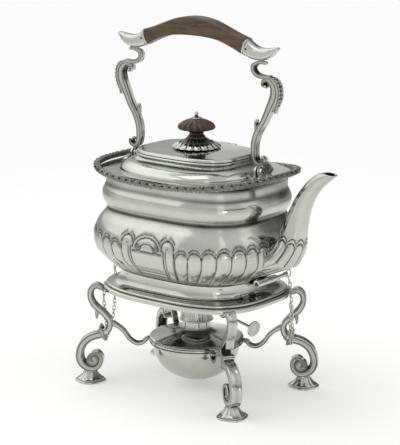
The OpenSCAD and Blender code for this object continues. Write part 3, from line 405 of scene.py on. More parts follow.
class Shape:
    """Points and faces that grow shell by shell, in millimetres."""

    def __init__(self):
        self.points, self.faces, self.tint = np.zeros((0, 3)), [], np.zeros(0)

    def loft(self, rings, closed=False, start=None, end=None, tint=0.0):
        """A skin over rings, closed on itself or with a pole at each end. tint is extra darkening: painted shade in
        most pieces, and tarnish on the rim border.
        """
        rings = np.asarray(rings, float)
        rows, count = rings.shape[:2]
        base = len(self.points)
        poles = (start is not None) + (end is not None)
        self.tint = np.concatenate([self.tint, (np.zeros((rows, count)) + tint).ravel(), np.zeros(poles)])
        i = np.arange(count)
        for row in range(rows if closed else rows - 1):
            a, b = base + row * count, base + ((row + 1) % rows) * count
            self.faces += np.stack([a + i, a + (i + 1) % count, b + (i + 1) % count, b + i], 1).tolist()
        self.points = np.vstack([self.points, rings.reshape(-1, 3)])
        for pole, row in ((start, 0), (end, rows - 1)):
            if pole is not None:
                self.points = np.vstack([self.points, pole])
                a, tip = base + row * count, len(self.points) - 1
                self.faces += [[tip, a + k, a + (k + 1) % count] for k in range(count)]
        return self

    def revolve(self, profile, count=96, flute=None, centre=(0, 0, 0), closed=False):
        """Turns [radius, height] round the upright axis. flute(angle, row) scales the radius."""
        t = round_trip(count)
        rings = []
        for row, (r, z) in enumerate(profile):
            k = 1 if flute is None else flute(t, row)
            rings.append(np.stack([r * k * np.cos(t), r * k * np.sin(t), np.full(count, float(z))], 1))
        rings = np.array(rings) + np.array(centre)
        if closed:
            return self.loft(rings, closed=True)
        low, high = np.array([0, 0, profile[0][1]]), np.array([0, 0, profile[-1][1]])
        return self.loft(rings, start=low + centre, end=high + centre)

    def ball(self, centre, radii, count=24):
        """A round button with three radii."""
        a = np.linspace(-math.pi / 2, math.pi / 2, count // 2 + 1)[1:-1]
        t = round_trip(count)
        rings = [np.stack([math.cos(k) * np.cos(t), math.cos(k) * np.sin(t), np.full(count, math.sin(k))], 1)
                 for k in a]
        size, place = np.array(radii, float), np.array(centre, float)
        return self.loft(np.array(rings) * size + place, start=place - [0, 0, size[2]], end=place + [0, 0, size[2]])

    def strap(self, points, depth, steps=6, power=3.1, channel=0.34, buttons=()):
        """A cast strap along [x, z, half width] in the x-z plane, with rounded edges and ends."""
        p = curve(points, steps)
        d = np.gradient(p[:, :2], axis=0)
        d /= np.linalg.norm(d, axis=1)[:, None]
        t = round_trip(STRAP_SIDES)
        square_cos, along_y = bent(np.cos(t), power), bent(np.sin(t), power)
        # The broad faces and the sides are slightly hollow between rounded edges
        across = square_cos * (1 - channel * (1 - along_y ** 2) ** 2)
        along_y = along_y * (1 - 0.5 * channel * (1 - square_cos ** 2) ** 2)
        across, along_y = across / np.abs(across).max(), along_y / np.abs(along_y).max()

        def section(i, forward, scale):
            w = p[i, 2] * scale
            x = p[i, 0] + d[i, 0] * forward - d[i, 1] * w * across
            z = p[i, 1] + d[i, 1] * forward + d[i, 0] * w * across
            return np.stack([x, depth / 2 * (0.35 + 0.65 * scale) * along_y, z], 1)

        # The inner sides of the curls are painted darker, as painted shade
        pace = np.linalg.norm(np.gradient(p[:, :2], axis=0), axis=1)
        bend = np.gradient(d, axis=0) / np.maximum(pace, 1e-6)[:, None]
        curl = bend[:, 1] * d[:, 0] - bend[:, 0] * d[:, 1]
        inside = np.clip(14 * curl[:, None] * across[None, :], 0, 1) * np.clip(2 * np.abs(across) - 0.7, 0, 1)
        # A dark line is painted beside each rounded edge of the two faces, as painted shade where the hollow face meets
        # the edge
        face = np.clip(12 * (np.abs(along_y) - 0.86), 0, 1)
        lines = face * np.exp(-((np.abs(across) - 0.58) / 0.16) ** 2)
        inside = np.maximum(inside, lines[None, :])
        inside = np.vstack([inside[:1]] * 3 + [inside] + [inside[-1:]] * 3)
        n = len(p) - 1
        ends = (1.45, 1.1, 0.6)
        rings = [section(0, -p[0, 2] * math.sin(a), math.cos(a)) for a in ends]
        rings += [section(i, 0, 1) for i in range(n + 1)]
        rings += [section(n, p[n, 2] * math.sin(a), math.cos(a)) for a in reversed(ends)]
        tips = [[p[i, 0] + s * d[i, 0] * p[i, 2], 0, p[i, 1] + s * d[i, 1] * p[i, 2]]
                for i, s in ((0, -1), (n, 1))]
        self.loft(rings, start=tips[0], end=tips[1], tint=CURL_PAINTED_SHADE * inside)
        for where, size in buttons:
            x, z = points[where][:2]
            self.ball((x, 0, z), (size, depth / 2 + 0.5, size))
        return self

    def moved(self, change):
        self.points = change(self.points)
        return self

    def mirrored(self, side):
        return self.moved(lambda p: p * [side, 1, 1])


# %% Pieces
def hollow_measure(mesh, full=0.55):
    """How deep each point lies in a groove, from 0 on a bump or flat to 1 in a tight hollow."""
    count = len(mesh.vertices)
    p, n = np.zeros(count * 3), np.zeros(count * 3)
    mesh.vertices.foreach_get("co", p)
    mesh.vertex_normals.foreach_get("vector", n)
    p, n = p.reshape(-1, 3) / MM, n.reshape(-1, 3)
    e = np.zeros(len(mesh.edges) * 2, int)
    mesh.edges.foreach_get("vertices", e)
    a, b = e.reshape(-1, 2).T
    total, degree, length = np.zeros((count, 3)), np.zeros(count), np.zeros(count)
    for i, j in ((a, b), (b, a)):
        step = p[j] - p[i]
        for k in range(3):
            total[:, k] += np.bincount(i, step[:, k], count)
        degree += np.bincount(i, minlength=count)
        length += np.bincount(i, np.sum(step ** 2, 1), count)
    bend = 4 * np.sum(total * n, 1) / np.maximum(length, 1e-9)
    depth = np.clip(bend / full, 0, 1)
    for _ in range(2):
        near = np.bincount(a, depth[b], count) + np.bincount(b, depth[a], count)
        depth = 0.5 * depth + 0.5 * near / np.maximum(degree, 1)
    return np.clip(1.5 * depth, 0, 1)


def cleaned(mesh, merge=0.0, flatten=False):
    """Merges points that lie closer than merge, in metres, and turns every face outwards."""
    work = bmesh.new()
    work.from_mesh(mesh)
    if merge:
        bmesh.ops.remove_doubles(work, verts=work.verts, dist=merge)
    if flatten:
        bmesh.ops.dissolve_limit(work, angle_limit=math.radians(1), verts=work.verts, edges=work.edges)
    bmesh.ops.recalc_face_normals(work, faces=work.faces)
    work.to_mesh(mesh)
    work.free()


def smoothed(mesh, sharp):
    """Smooth shading, with a crisp line at edges that bend by more than sharp degrees."""
    mesh.polygons.foreach_set("use_smooth", [True] * len(mesh.polygons))
    mesh.set_sharp_from_angle(angle=math.radians(sharp))


def store_tarnish_and_painted_shade(mesh, grime, extra=0.0):
    """Stores how dark each point is: tarnish in the hollows, and extra, which is mostly painted shade."""
    depth = mesh.attributes.new("patina_and_painted_shade", "FLOAT", "POINT")
    depth.data.foreach_set("value", np.maximum(grime * hollow_measure(mesh), extra).astype(np.float32))


def settled(name, mesh, body, replaced, blend=None):
    """Makes an object, hangs it on its body, or bakes its place into the mesh when blend is given, and hides the CAD
    nodes it replaces.
    """
    made = bpy.data.objects.new(name, mesh)
    bpy.context.scene.collection.objects.link(made)
    if blend:
        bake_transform(made)
    else:
        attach(made, body)
    if replaced:
        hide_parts(*replaced)
    return made


def make_piece(name, shape, material, body, replaced, sharp=40, grime=0.9):
    """A piece from a Shape."""
    mesh = bpy.data.meshes.new(name)
    mesh.from_pydata((shape.points * MM).tolist(), [], shape.faces)
    tint = mesh.attributes.new("tint", "FLOAT", "POINT")
    tint.data.foreach_set("value", shape.tint.astype(np.float32))
    cleaned(mesh, merge=0.00002)
    smoothed(mesh, sharp)
    extra = np.zeros(len(mesh.vertices), np.float32)
    mesh.attributes["tint"].data.foreach_get("value", extra)
    mesh.attributes.remove(mesh.attributes["tint"])
    store_tarnish_and_painted_shade(mesh, grime, extra)
    mesh.materials.append(material)
    settled(name, mesh, body, replaced)


def carry_over(node, material, body, edge=0.25):
    """A copy of a CAD node with its points merged, its edges eased and its shading smoothed."""
    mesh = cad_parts[node].data.copy()
    mesh.name = node + "_finished"
    cleaned(mesh, merge=0.00001, flatten=True)
    mesh.materials.clear()
    mesh.materials.append(material)
    smoothed(mesh, 40)
    eased = settled(node + "_finished", mesh, body, [node]).modifiers.new("eased_edges", "BEVEL")
    eased.width = edge * MM
    eased.segments = 2
    eased.limit_method = "ANGLE"
    eased.angle_limit = math.radians(50)


STAND, LID, HANDLE = "stand_and_kettle", "lid_assembly", "handle"
TWO_SIDES = ((1, "right"), (-1, "left"))

# %% [markdown]
# The kettle body is raised from sheet. Its lower half is chased with upright lobes, each closed by
# a rounded arch with a second line over it. A plain panel sits in the middle of the long sides,
# with a hood of arches over it and a crook on either side. The chasing is pressed inwards, so the
# lobes stand as high as the plain belly and only the lines between them are lower.

# %% Kettle body
BASE_Z, BODY_HEIGHT, ASPECT = 110.2, 92.0, 0.77
BELLY = 92.5
body_outline = [
    [68.5, 0], [71, 0.011], [77, 0.054], [84, 0.123], [89.5, 0.193], [92.2, 0.27], [92.5, 0.335], [91, 0.41],
    [87, 0.5], [81.5, 0.575], [79.2, 0.615], [80.6, 0.637], [80.4, 0.648], [82.6, 0.678], [83.8, 0.728],
    [83.6, 0.78], [82, 0.824], [80.6, 0.848], [80.4, 0.862], [80.4, 0.89], [80.4, 0.92], [80.6, 0.945], [81.6, 0.966],
    [84.5, 0.984]]
AROUND = 960
QUARTER = AROUND // 4
belly_angles = even_angles(BELLY, BELLY * ASPECT, 3, AROUND)
belly_ring = ring(BELLY, BELLY * ASPECT, 0, 3, belly_angles)
belly_steps = np.linalg.norm(np.roll(belly_ring, -1, 0) - belly_ring, axis=1)
pitch_around = belly_steps.mean()
# Distance round the belly from the middle of the nearer long side, with its sign
column = np.arange(AROUND)
from_middle = (column % (2 * QUARTER) - QUARTER) * pitch_around
LOBE_START, LOBE_PITCH = 30.0, 13.55


def line(distance, width, depth):
    """A chased line: its depth at a distance from its middle."""
    return depth * np.exp(-(distance / width) ** 2)


def chasing(u, z):
    """How far the hammer pressed the sheet in, at u round the belly and height z."""
    a = np.abs(u)
    # Towards the base the lobes lean in to the middle
    lean = 0.011 * np.clip(134 - z, 0, 30) ** 2 * np.clip((a - 34) / 20, 0, 1)
    share = (a + lean - LOBE_START) / LOBE_PITCH
    from_axis = 2 * (share - np.floor(share)) - 1
    lobe = a > LOBE_START
    crown = np.interp(a, [30, 40, 90, 140], [144, 146.5, 151, 151.5]) - 3
    arch = crown - 0.5 * LOBE_PITCH * (1 - np.sqrt(np.clip(1 - from_axis ** 2, 0, 1)))
    below = arch - z
    valley = 1.5 * np.abs(from_axis) ** 3.2 * np.clip((z - 111) / 6, 0, 1)
    inside = np.where(below > 0, valley + line(below, 1.3, 0.9), line(below, 1.0, 0.9))
    outer_line = line(below + 2.9, 0.75, 0.75)
    cusp = np.where((below < -1.2) & (below > -4), 0.5 * np.abs(from_axis) ** 6, 0)
    depth = np.where(lobe, np.maximum.reduce([inside, outer_line, cusp]), 0.0)
    pressed = [depth]
    # A crook on each side of the panel: a flute whose top curls in round a dot
    crook = np.hypot(a - 23, z - 144.5)
    over_top = (z > 144.5) | (a < 18)
    pressed.append(np.where(over_top & (a < 31) & (z > 141.5), line(crook - 6.8, 0.8, 1.1), 0))
    pressed.append(np.where((z > 149) & (a < 31.5), line(crook - 9.6, 0.6, 0.6), 0))
    pressed.append(line(crook, 0.9, 0.9))
    shaft = np.clip((144 - z) / 3, 0, 1) * np.clip((z - 112) / 3, 0, 1) * (a > 16)
    for place, width, deep in ((18.6, 0.7, 0.9), (21.2, 0.6, 0.7), (29.8, 0.8, 1.2)):
        pressed.append(shaft * line(a - place, width, deep))
    # The plain panel between the crooks
    beside = np.clip((17.5 - a) / 1.5, 0, 1)
    for place, width, deep in ((138.5, 0.7, 0.8), (118.6, 0.6, 0.7), (115.4, 0.5, 0.5)):
        pressed.append(beside * line(z - place, width, deep))
    # A hood of three arches over the panel, with a dot at each end of the lowest
    for wide, tall, deep in ((16.4, 12.4, 0.7), (13.2, 9.4, 1.0), (7.6, 4.2, 0.8)):
        arc = (np.hypot(a / wide, (z - 141.5) / tall) - 1) * min(wide, tall)
        pressed.append(np.where(z > 141, line(arc, 0.65, deep), 0))
    dot = np.hypot(a - 9.6, z - 142)
    return np.maximum.reduce(pressed + [line(dot - 2.4, 0.6, 0.8), 0.6 * (dot < 0.9)])


rows = curve(body_outline, 12)
rows = np.array([[min(r, BELLY), BASE_Z + s * BODY_HEIGHT] for r, s in rows])
# The chased part has rows close together, and the plain part above it fewer
low = spread(rows[rows[:, 1] <= 154], 58)
high = spread(rows[rows[:, 1] >= 153.5], 30)
rows = np.vstack([low, high[1:]])
outer, foot_painted_shade = [], []
for half_length, z in rows:
    at = ring(half_length, half_length * ASPECT, z, 3, belly_angles)
    if z < 156:
        pressed = chasing(from_middle, np.full(AROUND, z))
        inward = at[:, :2] / np.array([half_length, half_length * ASPECT])
        normal = np.sign(inward) * np.abs(inward) ** 2 / np.array([half_length, half_length * ASPECT])
        normal /= np.linalg.norm(normal, axis=1)[:, None]
        at[:, :2] -= normal * pressed[:, None]
    outer.append(at)
    # The foot of the body, up to 1.7 mm above its base, is painted dark as painted shade where it meets the stand
    foot_painted_shade.append(np.clip((111.9 - z) / 1.1, 0, 0.92))
WALL, INSIDE_FLOOR = 2.6, BASE_Z + 1.3
inner = [ring(r - WALL, r * ASPECT - WALL, max(z, INSIDE_FLOOR), 3, belly_angles) for r, z in rows[::-6]]
foot_painted_shade = np.array(foot_painted_shade + [0] * len(inner))[:, None]
shape = Shape().loft(outer + inner, start=[0, 0, BASE_Z], end=[0, 0, INSIDE_FLOOR], tint=foot_painted_shade)
make_piece("kettle_body_chased", shape, planished_silver, STAND, ["kettle_body"], sharp=60)
print("kettle body faces", len(shape.faces))

# %% [markdown]
# The shoulder is a separate sheet: a flat flange, a high dome and an upturned seat for the lid.
# A cast border of small scrolls runs round the flange's edge and rises towards the two ends.

# %% Shoulder, bezel and rim border
FLANGE_Z, SEAT_Z = 202.2, 214.7
shoulder_outline = [
    [85.7, 66, 0, 3], [75, 62.5, 0.05, 2.85], [67, 60.3, 0.1, 2.7], [65.5, 59, 0.5, 2.7], [64.9, 58.3, 2.6, 2.7],
    [63.1, 56.1, 5.1, 2.7], [60.5, 52.4, 7.3, 2.7], [57.5, 48, 8.6, 2.9], [55.5, 43.5, 9.2, 3],
    [53.3, 41.1, 9.8, 3.3], [52.1, 39.3, 11.2, 3.3], [51.1, 38.1, 12.3, 3.3], [48.5, 35.5, 12.3, 3.3]]
shoulder_angles = even_angles(66, 58, 2.7, 360)
rows = curve(shoulder_outline, 4)
top = [ring(a, b, FLANGE_Z + z, p, shoulder_angles) for a, b, z, p in rows]
under = [ring(a - 1.1, b - 1.1, FLANGE_Z + z - 1.2, p, shoulder_angles) for a, b, z, p in rows[::-1]]
make_piece("kettle_shoulder_raised", Shape().loft(top + under, closed=True), planished_silver, STAND,
           ["kettle_shoulder"])

bezel_outline = [[0, 0], [3.4, 0], [4.3, 0.4], [4.6, 1.2], [4.3, 1.9], [3.6, 2.3], [0, 2.3]]
lid_angles = even_angles(50, 37, 3.3, 360)
rings = [ring(48.5 + w, 35.5 + w, SEAT_Z + z, 3.3, lid_angles) for w, z in bezel_outline]
make_piece("lid_bezel_bead", Shape().loft(rings, closed=True), turned_silver, STAND, ["lid_bezel"])

border_outline = [[0, -2.4], [0.3, -3.1], [0.75, -2.6], [0.9, -1.2], [0.86, 0.2], [0.8, 1.3], [0.5, 1.9],
                  [0.25, 2.2], [0, 1.4]]
RIM_INNER, RIM_WIDTH, RIM_LIFT = 85.9, 6.1, 3.5


def rim_ring(share, rise, angles):
    """A line round the border, at a share of its width, that rises towards the two ends."""
    a = RIM_INNER + RIM_WIDTH * share
    return ring(a, a * ASPECT, FLANGE_Z + rise, 3, angles, RIM_LIFT)


rim_angles = even_angles(90, 69.3, 3, 504)
rings = [rim_ring(w, z, rim_angles) for w, z in border_outline]
make_piece("rim_border_core", Shape().loft(rings, closed=True, tint=0.6), border_silver, STAND, ["rim_border"])

# %% [markdown]
# Repeated ornament, such as the border's small scrolls and the chain's links, comes from one
# Geometry Nodes tree. It puts one element on each point, turned and scaled by two attributes, and
# joins the result. The result is then stored as a plain mesh that rides on its body.

# %% A tree that repeats an element
repeat_tree = bpy.data.node_groups.new("repeat_on_points", "GeometryNodeTree")
for title, kind in (("Places", "NodeSocketGeometry"), ("Element", "NodeSocketObject"),
                    ("Finish", "NodeSocketMaterial")):
    repeat_tree.interface.new_socket(title, in_out="INPUT", socket_type=kind)
repeat_tree.interface.new_socket("Result", in_out="OUTPUT", socket_type="NodeSocketGeometry")
given = add_node(repeat_tree, "NodeGroupInput").outputs
info = add_node(repeat_tree, "GeometryNodeObjectInfo", Object=given["Element"]).outputs["Geometry"]
turn, size = [
    add_node(repeat_tree, "GeometryNodeInputNamedAttribute", {"data_type": "FLOAT_VECTOR"}, Name=title).outputs[0]
    for title in ("turn", "size")]
as_rotation = add_node(repeat_tree, "FunctionNodeEulerToRotation", Euler=turn).outputs[0]
placed = add_node(repeat_tree, "GeometryNodeInstanceOnPoints", Points=given["Places"], Instance=info,
                  Rotation=as_rotation, Scale=size).outputs[0]
joined = add_node(repeat_tree, "GeometryNodeRealizeInstances", Geometry=placed).outputs[0]
finished = add_node(repeat_tree, "GeometryNodeSetMaterial", Geometry=joined, Material=given["Finish"]).outputs[0]
result = repeat_tree.nodes.new("NodeGroupOutput")
repeat_tree.links.new(finished, result.inputs[0])


def repeat(name, element, places, material, body, replaced=(), blend=None, grime=0.9):
    """Repeats element, a Shape round the origin, at places of (position, turn, size)."""
    source_mesh = bpy.data.meshes.new(name + "_element")
    source_mesh.from_pydata((element.points * MM).tolist(), [], element.faces)
    cleaned(source_mesh)
    source = bpy.data.objects.new(name + "_element", source_mesh)
    points = bpy.data.meshes.new(name + "_places")
    points.from_pydata([[c * MM for c in p] for p, _, _ in places], [], [])
    for title, index in (("turn", 1), ("size", 2)):
        data = points.attributes.new(title, "FLOAT_VECTOR", "POINT")
        data.data.foreach_set("vector", np.array([p[index] for p in places], np.float32).ravel())
    carrier = bpy.data.objects.new(name + "_carrier", points)
    for one in (source, carrier):
        bpy.context.scene.collection.objects.link(one)
    maker = carrier.modifiers.new("repeat", "NODES")
    maker.node_group = repeat_tree
    sockets = {s.name: s.identifier for s in repeat_tree.interface.items_tree if s.in_out == "INPUT"}
    maker[sockets["Element"]] = source
    maker[sockets["Finish"]] = material
    bpy.context.view_layer.update()
    view = bpy.context.evaluated_depsgraph_get()
    mesh = bpy.data.meshes.new_from_object(carrier.evaluated_get(view), depsgraph=view)
    mesh.name = name
    for one in (source, carrier):
        bpy.data.objects.remove(one)
    smoothed(mesh, 50)
    if len(mesh.materials) == 0:
        mesh.materials.append(material)
    store_tarnish_and_painted_shade(mesh, grime)
    settled(name, mesh, body, replaced, blend)
    print(name, len(places), "repeats,", len(mesh.polygons), "faces")


# %% Scrolls and leaves on the rim border
SCROLLS = 132
scroll_angles = even_angles(90, 69.3, 3, SCROLLS)


def along_rim(share, rise):
    """Points on the border and the heading of the rim at each of them."""
    at = rim_ring(share, rise, scroll_angles)
    ahead = np.roll(at, -1, 0) - np.roll(at, 1, 0)
    return at, np.arctan2(ahead[:, 1], ahead[:, 0])


# One curl lies along its own x axis; y points across the border and z up
turn = np.linspace(-0.4, 4.3, 9)
curl_line = np.stack([0.95 * np.cos(turn) * (1 - 0.07 * turn) + 0.1 * turn, 0.8 * np.sin(turn), 0 * turn,
                      0.42 - 0.05 * turn], 1)
curl = Shape()
ring_angle = round_trip(6)
out = np.stack([np.cos(turn), np.sin(turn), 0 * turn], 1)
curl_rings = [q[:3] + q[3] * (np.outer(np.cos(ring_angle), o) + np.outer(np.sin(ring_angle), [0, 0, 1.6]))
              for q, o in zip(curl_line, out)]
curl.loft(curl_rings, start=curl_line[0, :3], end=curl_line[-1, :3])
leaf_rings = []
for x, wide in ((-1.2, 0.35), (-0.7, 0.75), (0, 0.9), (0.7, 0.6), (1.3, 0.2)):
    leaf_rings.append(np.stack([0 * ring_angle + x, wide * np.cos(ring_angle), 0.55 * wide * np.sin(ring_angle)], 1))
leaf = Shape().loft(leaf_rings, start=[-1.4, 0, 0], end=[1.7, 0, 0])
edge, edge_heading = along_rim(0.72, 0.5)
crest, crest_heading = along_rim(0.42, 1.75)
under_edge, under_heading = along_rim(0.74, -1.4)
inner_row, inner_heading = along_rim(0.12, 1.5)
curls, leaves = [], []
for k in range(SCROLLS):
    flip = (1, -1)[k % 2]
    # A sum of two waves varies the turns and sizes, so no two neighbours are alike
    vary = 0.6 * math.sin(2.4 * k) + 0.4 * math.sin(5.1 * k + 1)
    big = 1 + 0.3 * vary
    curls.append((edge[k], (-0.9 + 0.3 * vary, 0.3 * vary, edge_heading[k] + 1.2 * vary), (1.5 * big, 1.4 * flip, 1.2)))
    curls.append((crest[k], (-0.15, 0.3 * vary, crest_heading[k] + 2.6 * vary), (1.4 * big, 1.3, 1.25 * big)))
    leaves.append((under_edge[k], (0.9, 0.8 * vary, under_heading[k]), (1.2 * big, 1.25, 1.5 - 0.4 * big)))
    leaves.append((inner_row[k], (0, 0, inner_heading[k] + 0.9 * vary), (0.9 * big, 0.8, 0.9)))
repeat("rim_border_curls", curl, curls, border_silver, STAND, grime=1.0)
repeat("rim_border_leaves", leaf, leaves, border_silver, STAND, grime=1.0)

# %% [markdown]
# The spout is cast. It leaves the belly low down, wide and lobed like the body, and narrows as it
# rises to a mouth that opens upwards. Its inside is hollow.

# %% Spout
spout_sections = [
    [98.5, 136.2, 12.8, -42, 18.5], [105.3, 147.6, 12.6, -20, 14.6], [108.1, 160.2, 11.4, -9, 11.4],
    [112.5, 175, 9.6, -18, 9.4], [118.9, 190, 8, -32, 8], [128.1, 203.2, 6.8, -42, 7],
    [136.9, 211, 6.1, -38, 6.4], [144.5, 215.6, 6.2, -6, 5.6]]
wall_heights = [BASE_Z + s * BODY_HEIGHT for _, s in body_outline[:11]]
wall_reach = [a for a, _ in body_outline[:11]]
SIDES = 240
t = round_trip(SIDES)
square_cos, square_sin = bent(np.cos(t), 2.3), bent(np.sin(t), 2.3)
# Lobes round the foot of the spout, each closed by an arch with a second line over it
lobes = np.abs(np.sin(4.5 * t))


def spout_root(inset, sink):
    y = (20 - inset) * np.sin(t)
    z = 131.7 - (17.5 - inset) * np.cos(t)
    a = np.interp(z, wall_heights, wall_reach)
    x = a * (1 - (np.abs(y) / (a * ASPECT)) ** 3) ** (1 / 3)
    return np.stack([x - sink, y, z], 1)


def lobe_press(row):
    """How much the chasing narrows a section of the spout."""
    arch = 9.5 + 2.6 * lobes ** 0.7
    below = np.clip((arch - row) / 1.2, 0, 1)
    return (0.1 * below * (1 - lobes) ** 1.6 + line(row - arch, 0.55, 0.045)
            + line(row - arch - 2.2, 0.5, 0.03))


def spout_ring(s, inset, pressed):
    k = 1 - pressed
    u = (s[2] - inset) * square_cos * k
    slope = math.radians(s[3])
    return np.stack([s[0] + u * math.cos(slope), (s[4] - inset) * square_sin * k, s[1] + u * math.sin(slope)], 1)


fine_stations = curve(spout_sections, 32)
rows = np.arange(len(fine_stations)) / 4
CHASED_ROWS = 16
outside = [spout_root(0, 0.5)] + [spout_ring(s, 0, lobe_press(row)) for s, row in zip(fine_stations, rows)
                                  if row < CHASED_ROWS or row % 1 == 0]
stations = curve(spout_sections, 8)
inside = [spout_ring(s, 1.3 if k < 44 else 3, 0) for k, s in enumerate(stations[::-1])] + [spout_root(3.6, 0.4)]
lip = spout_ring(stations[-1], 0.5, 0) + [0, 0, 0.35]
shape = Shape().loft(outside + [lip] + inside, closed=True)
make_piece("spout_cast", shape, planished_silver, STAND, ["spout"], sharp=60)

# %% [markdown]
# The lid is a nearly flat plate with a thick rounded edge. Its knob is a rosewood mushroom, fluted
# all round, on a silver cup with a ring of flat petals and a ribbed cone above them.

# %% Lid
lid_outline = [
    [-26, 220.5], [-14, 219.86], [-3.4, 217.7], [-3.4, 214], [-2.2, 214], [-2.2, 217.2], [2.6, 217.2], [3.3, 217.4],
    [3.6, 217.6], [3.4, 218.2], [3.1, 218.9], [2.8, 219.5], [2.4, 219.85], [1.7, 220.05], [-0.6, 220.15], [-6, 220.45],
    [-14, 221.1], [-22, 221.6], [-26, 221.7]]
rings = [ring(49 + w, 36 + w, z, 3.3, lid_angles) for w, z in lid_outline]
shape = Shape().loft(rings, start=[0, 0, 220.5], end=[0, 0, 221.7])
make_piece("lid_plate", shape, planished_silver, LID, ["lid"], sharp=55)

# %% Petalled cup, knob and finial
PETALS, PETAL_RING, PETAL_Z = 18, 18.3, 225.1
LID_TOP, KNOB_BASE = 221.7, 230.5


def petals(angle, row):
    """Narrows the cup between its petals, which turn out, and between the ribs that stand over them."""
    lower, upper = np.abs(np.cos(PETALS / 2 * angle)), np.abs(np.sin(PETALS / 2 * angle))
    amount = [0.03, 0.06, 0.09, 0.1, 0.08, 0.03, 0, 0.05, 0.1, 0.1, 0.09, 0.06, 0.03][row]
    return 1 - amount * (lower if row < 6 else upper) ** 5


cup_profile = [[15.3, 0], [19, 0.3], [21.6, 0.7], [22.3, 1.4], [21.9, 2.1], [20.4, 2.5], [17.6, 2.9], [15.2, 4.1],
               [13.8, 5.4], [12.4, 6.6], [10.8, 7.7], [9.6, 8.5], [8.9, 8.8]]
shape = Shape().revolve(cup_profile, 432, petals, (0, 0, LID_TOP))
# The cone above the petals, under the knob's overhang, is painted dark as painted shade
above, from_rim = shape.points[:, 2] - 223.6, 20.5 - np.hypot(*shape.points[:, :2].T)
shape.tint = np.clip(above / 2, 0, 0.75) * np.clip(from_rim / 3, 0, 1)
make_piece("knob_calyx_petals", shape, cast_silver, LID, ["knob_calyx"], sharp=60, grime=0.9)
petal = Shape().ball((0, 0, 0), (1, 1, 1), 20)
places = []
for k in range(PETALS):
    a = 2 * math.pi * (k + 0.5) / PETALS
    at = (PETAL_RING * math.cos(a), PETAL_RING * math.sin(a), PETAL_Z)
    places.append((at, (0, 0.55, a), (3.9, 2.8, 0.8)))
repeat("knob_calyx_flat_petals", petal, places, turned_silver, LID, grime=0.2)

FLUTES = 16
knob_profile = [[8.4, 0], [8, 1.4], [6.6, 3], [6.4, 4.4], [7.6, 6.2], [11.4, 7.1], [15, 7.8], [16.6, 8.7], [17, 9.6],
                [16.7, 11], [15.2, 12.9], [13, 14.3], [10.6, 15.5], [8, 16.5], [5.4, 17.1], [3.4, 17.2]]
flute_depth = [0, 0, 0, 0, 0.01, 0.06, 0.09, 0.1, 0.1, 0.1, 0.1, 0.1, 0.1, 0.1, 0.08, 0.03]
smooth_knob = curve([[r, z, d] for (r, z), d in zip(knob_profile, flute_depth)], 3)
shape = Shape().revolve(smooth_knob[:, :2], 384,
                        lambda a, row: 1 - smooth_knob[row, 2] * np.abs(np.cos(FLUTES / 2 * a)) ** 4, (0, 0, KNOB_BASE))
make_piece("knob_fluted_rosewood", shape, knob_wood, LID, ["knob"], sharp=60, grime=1.0)

finial_profile = [[1.5, 16.6], [4.7, 17.1], [5, 17.6], [4.9, 18.1], [4.2, 18.5], [2.6, 18.8], [1.8, 19.2], [1.5, 20.1],
                  [1.8, 20.6], [2, 21.1], [1.8, 21.8], [1.2, 22.6], [0.7, 23.4], [0.3, 24]]
shape = Shape().revolve(finial_profile, 64, None, (0, 0, KNOB_BASE))
make_piece("knob_finial_turned", shape, turned_silver, LID, ["knob_finial"])
for node in ("lid_hinge_leaf", "lid_hinge_pin"):
    carry_over(node, turned_silver, STAND)
carry_over("lid_hinge_tab", turned_silver, LID)

# %% [markdown]
# The handle swings on two pivots. Each arm is a cast C-scroll with an acanthus leaf on its outer
# side and a bud inside. A ferrule like a duck's bill holds each end of the arched rosewood grip.

# %% Handle arms
PIVOT_X, PIVOT_Z = 70.5, 208.7
arm_shaft = [
    [6.4, 75.6, 1], [3.8, 76.8, 1.4], [5, 80.2, 2], [9.8, 81.4, 2.6], [15.2, 76, 3.4],
    [15.6, 67.4, 4.1], [11, 57.4, 3.5], [4.8, 44.6, 3], [-1.4, 35, 3], [-5, 24.6, 3],
    [-5.2, 15.6, 2.7], [-3.6, 9.4, 2.3], [0.6, 7.2, 2], [4.4, 8.4, 1.7], [5.2, 11.4, 1.4], [3, 12.6, 0.9]]
arm_scroll = [[5, 95.6, 1.1], [-1.2, 95.7, 1.5], [-6.6, 92.8, 2.1], [-6.8, 88.2, 2.2], [-2.2, 84.4, 2],
              [4.6, 83.6, 1.7], [10.6, 84.8, 0.8]]
arm_leaf = [[17.8, 62, 1.3], [17.2, 56.6, 1.1], [16.6, 53.4, 0.7]]
arm_bud = [[-3.4, 36, 1.4], [-4, 41, 1.3], [-3.6, 44.2, 1.1]]
# The acanthus leaf lies along the outer side of the shaft, with notched edges
leaf_route = [[11, 83, 1.3], [16, 80.2, 2.5], [18.6, 74.6, 3], [19, 68, 2.9], [17.4, 61.4, 2.3], [14.4, 55.4, 1.4]]
arm_tongue = [[-0.6, 8, 1.7], [0, 4, 1.7], [0, 0, 1.7]]


def on_arm(points):
    return [[PIVOT_X + x, PIVOT_Z + z, w] for x, z, w in points]


def notched(points, count, amount):
    """The same strap with its width drawn in and out, like the lobes of a leaf."""
    p = curve(points, 8)
    share = np.linspace(0, 1, len(p))
    p[:, 2] *= 1 + amount * np.sin(count * math.pi * share) ** 2
    return p.tolist()


for side, name in TWO_SIDES:
    shape = Shape()
    shape.strap(on_arm(arm_shaft), 6.5, buttons=((0, 1.9), (-1, 1.8)))
    shape.strap(on_arm(arm_scroll), 5, buttons=((0, 1.8),))
    shape.strap(on_arm(arm_leaf), 4.6)
    shape.strap(on_arm(arm_bud), 4, buttons=((-1, 1.7),))
    shape.strap(on_arm(arm_tongue), 5.6, buttons=((-1, 1.7),))
    shape.strap(notched(on_arm(leaf_route), 11, 0.34), 6.2, steps=1, channel=0.45, power=2.6)
    shape.ball((PIVOT_X, 0, PIVOT_Z), (1.7, 3.8, 3.8), 32)
    shape.mirrored(side)
    make_piece(name + "_handle_arm_scrolled", shape, cast_silver, HANDLE, [name + "_handle_arm"], sharp=50)


# %% Grip and ferrules
GRIP_TOP = 339.1


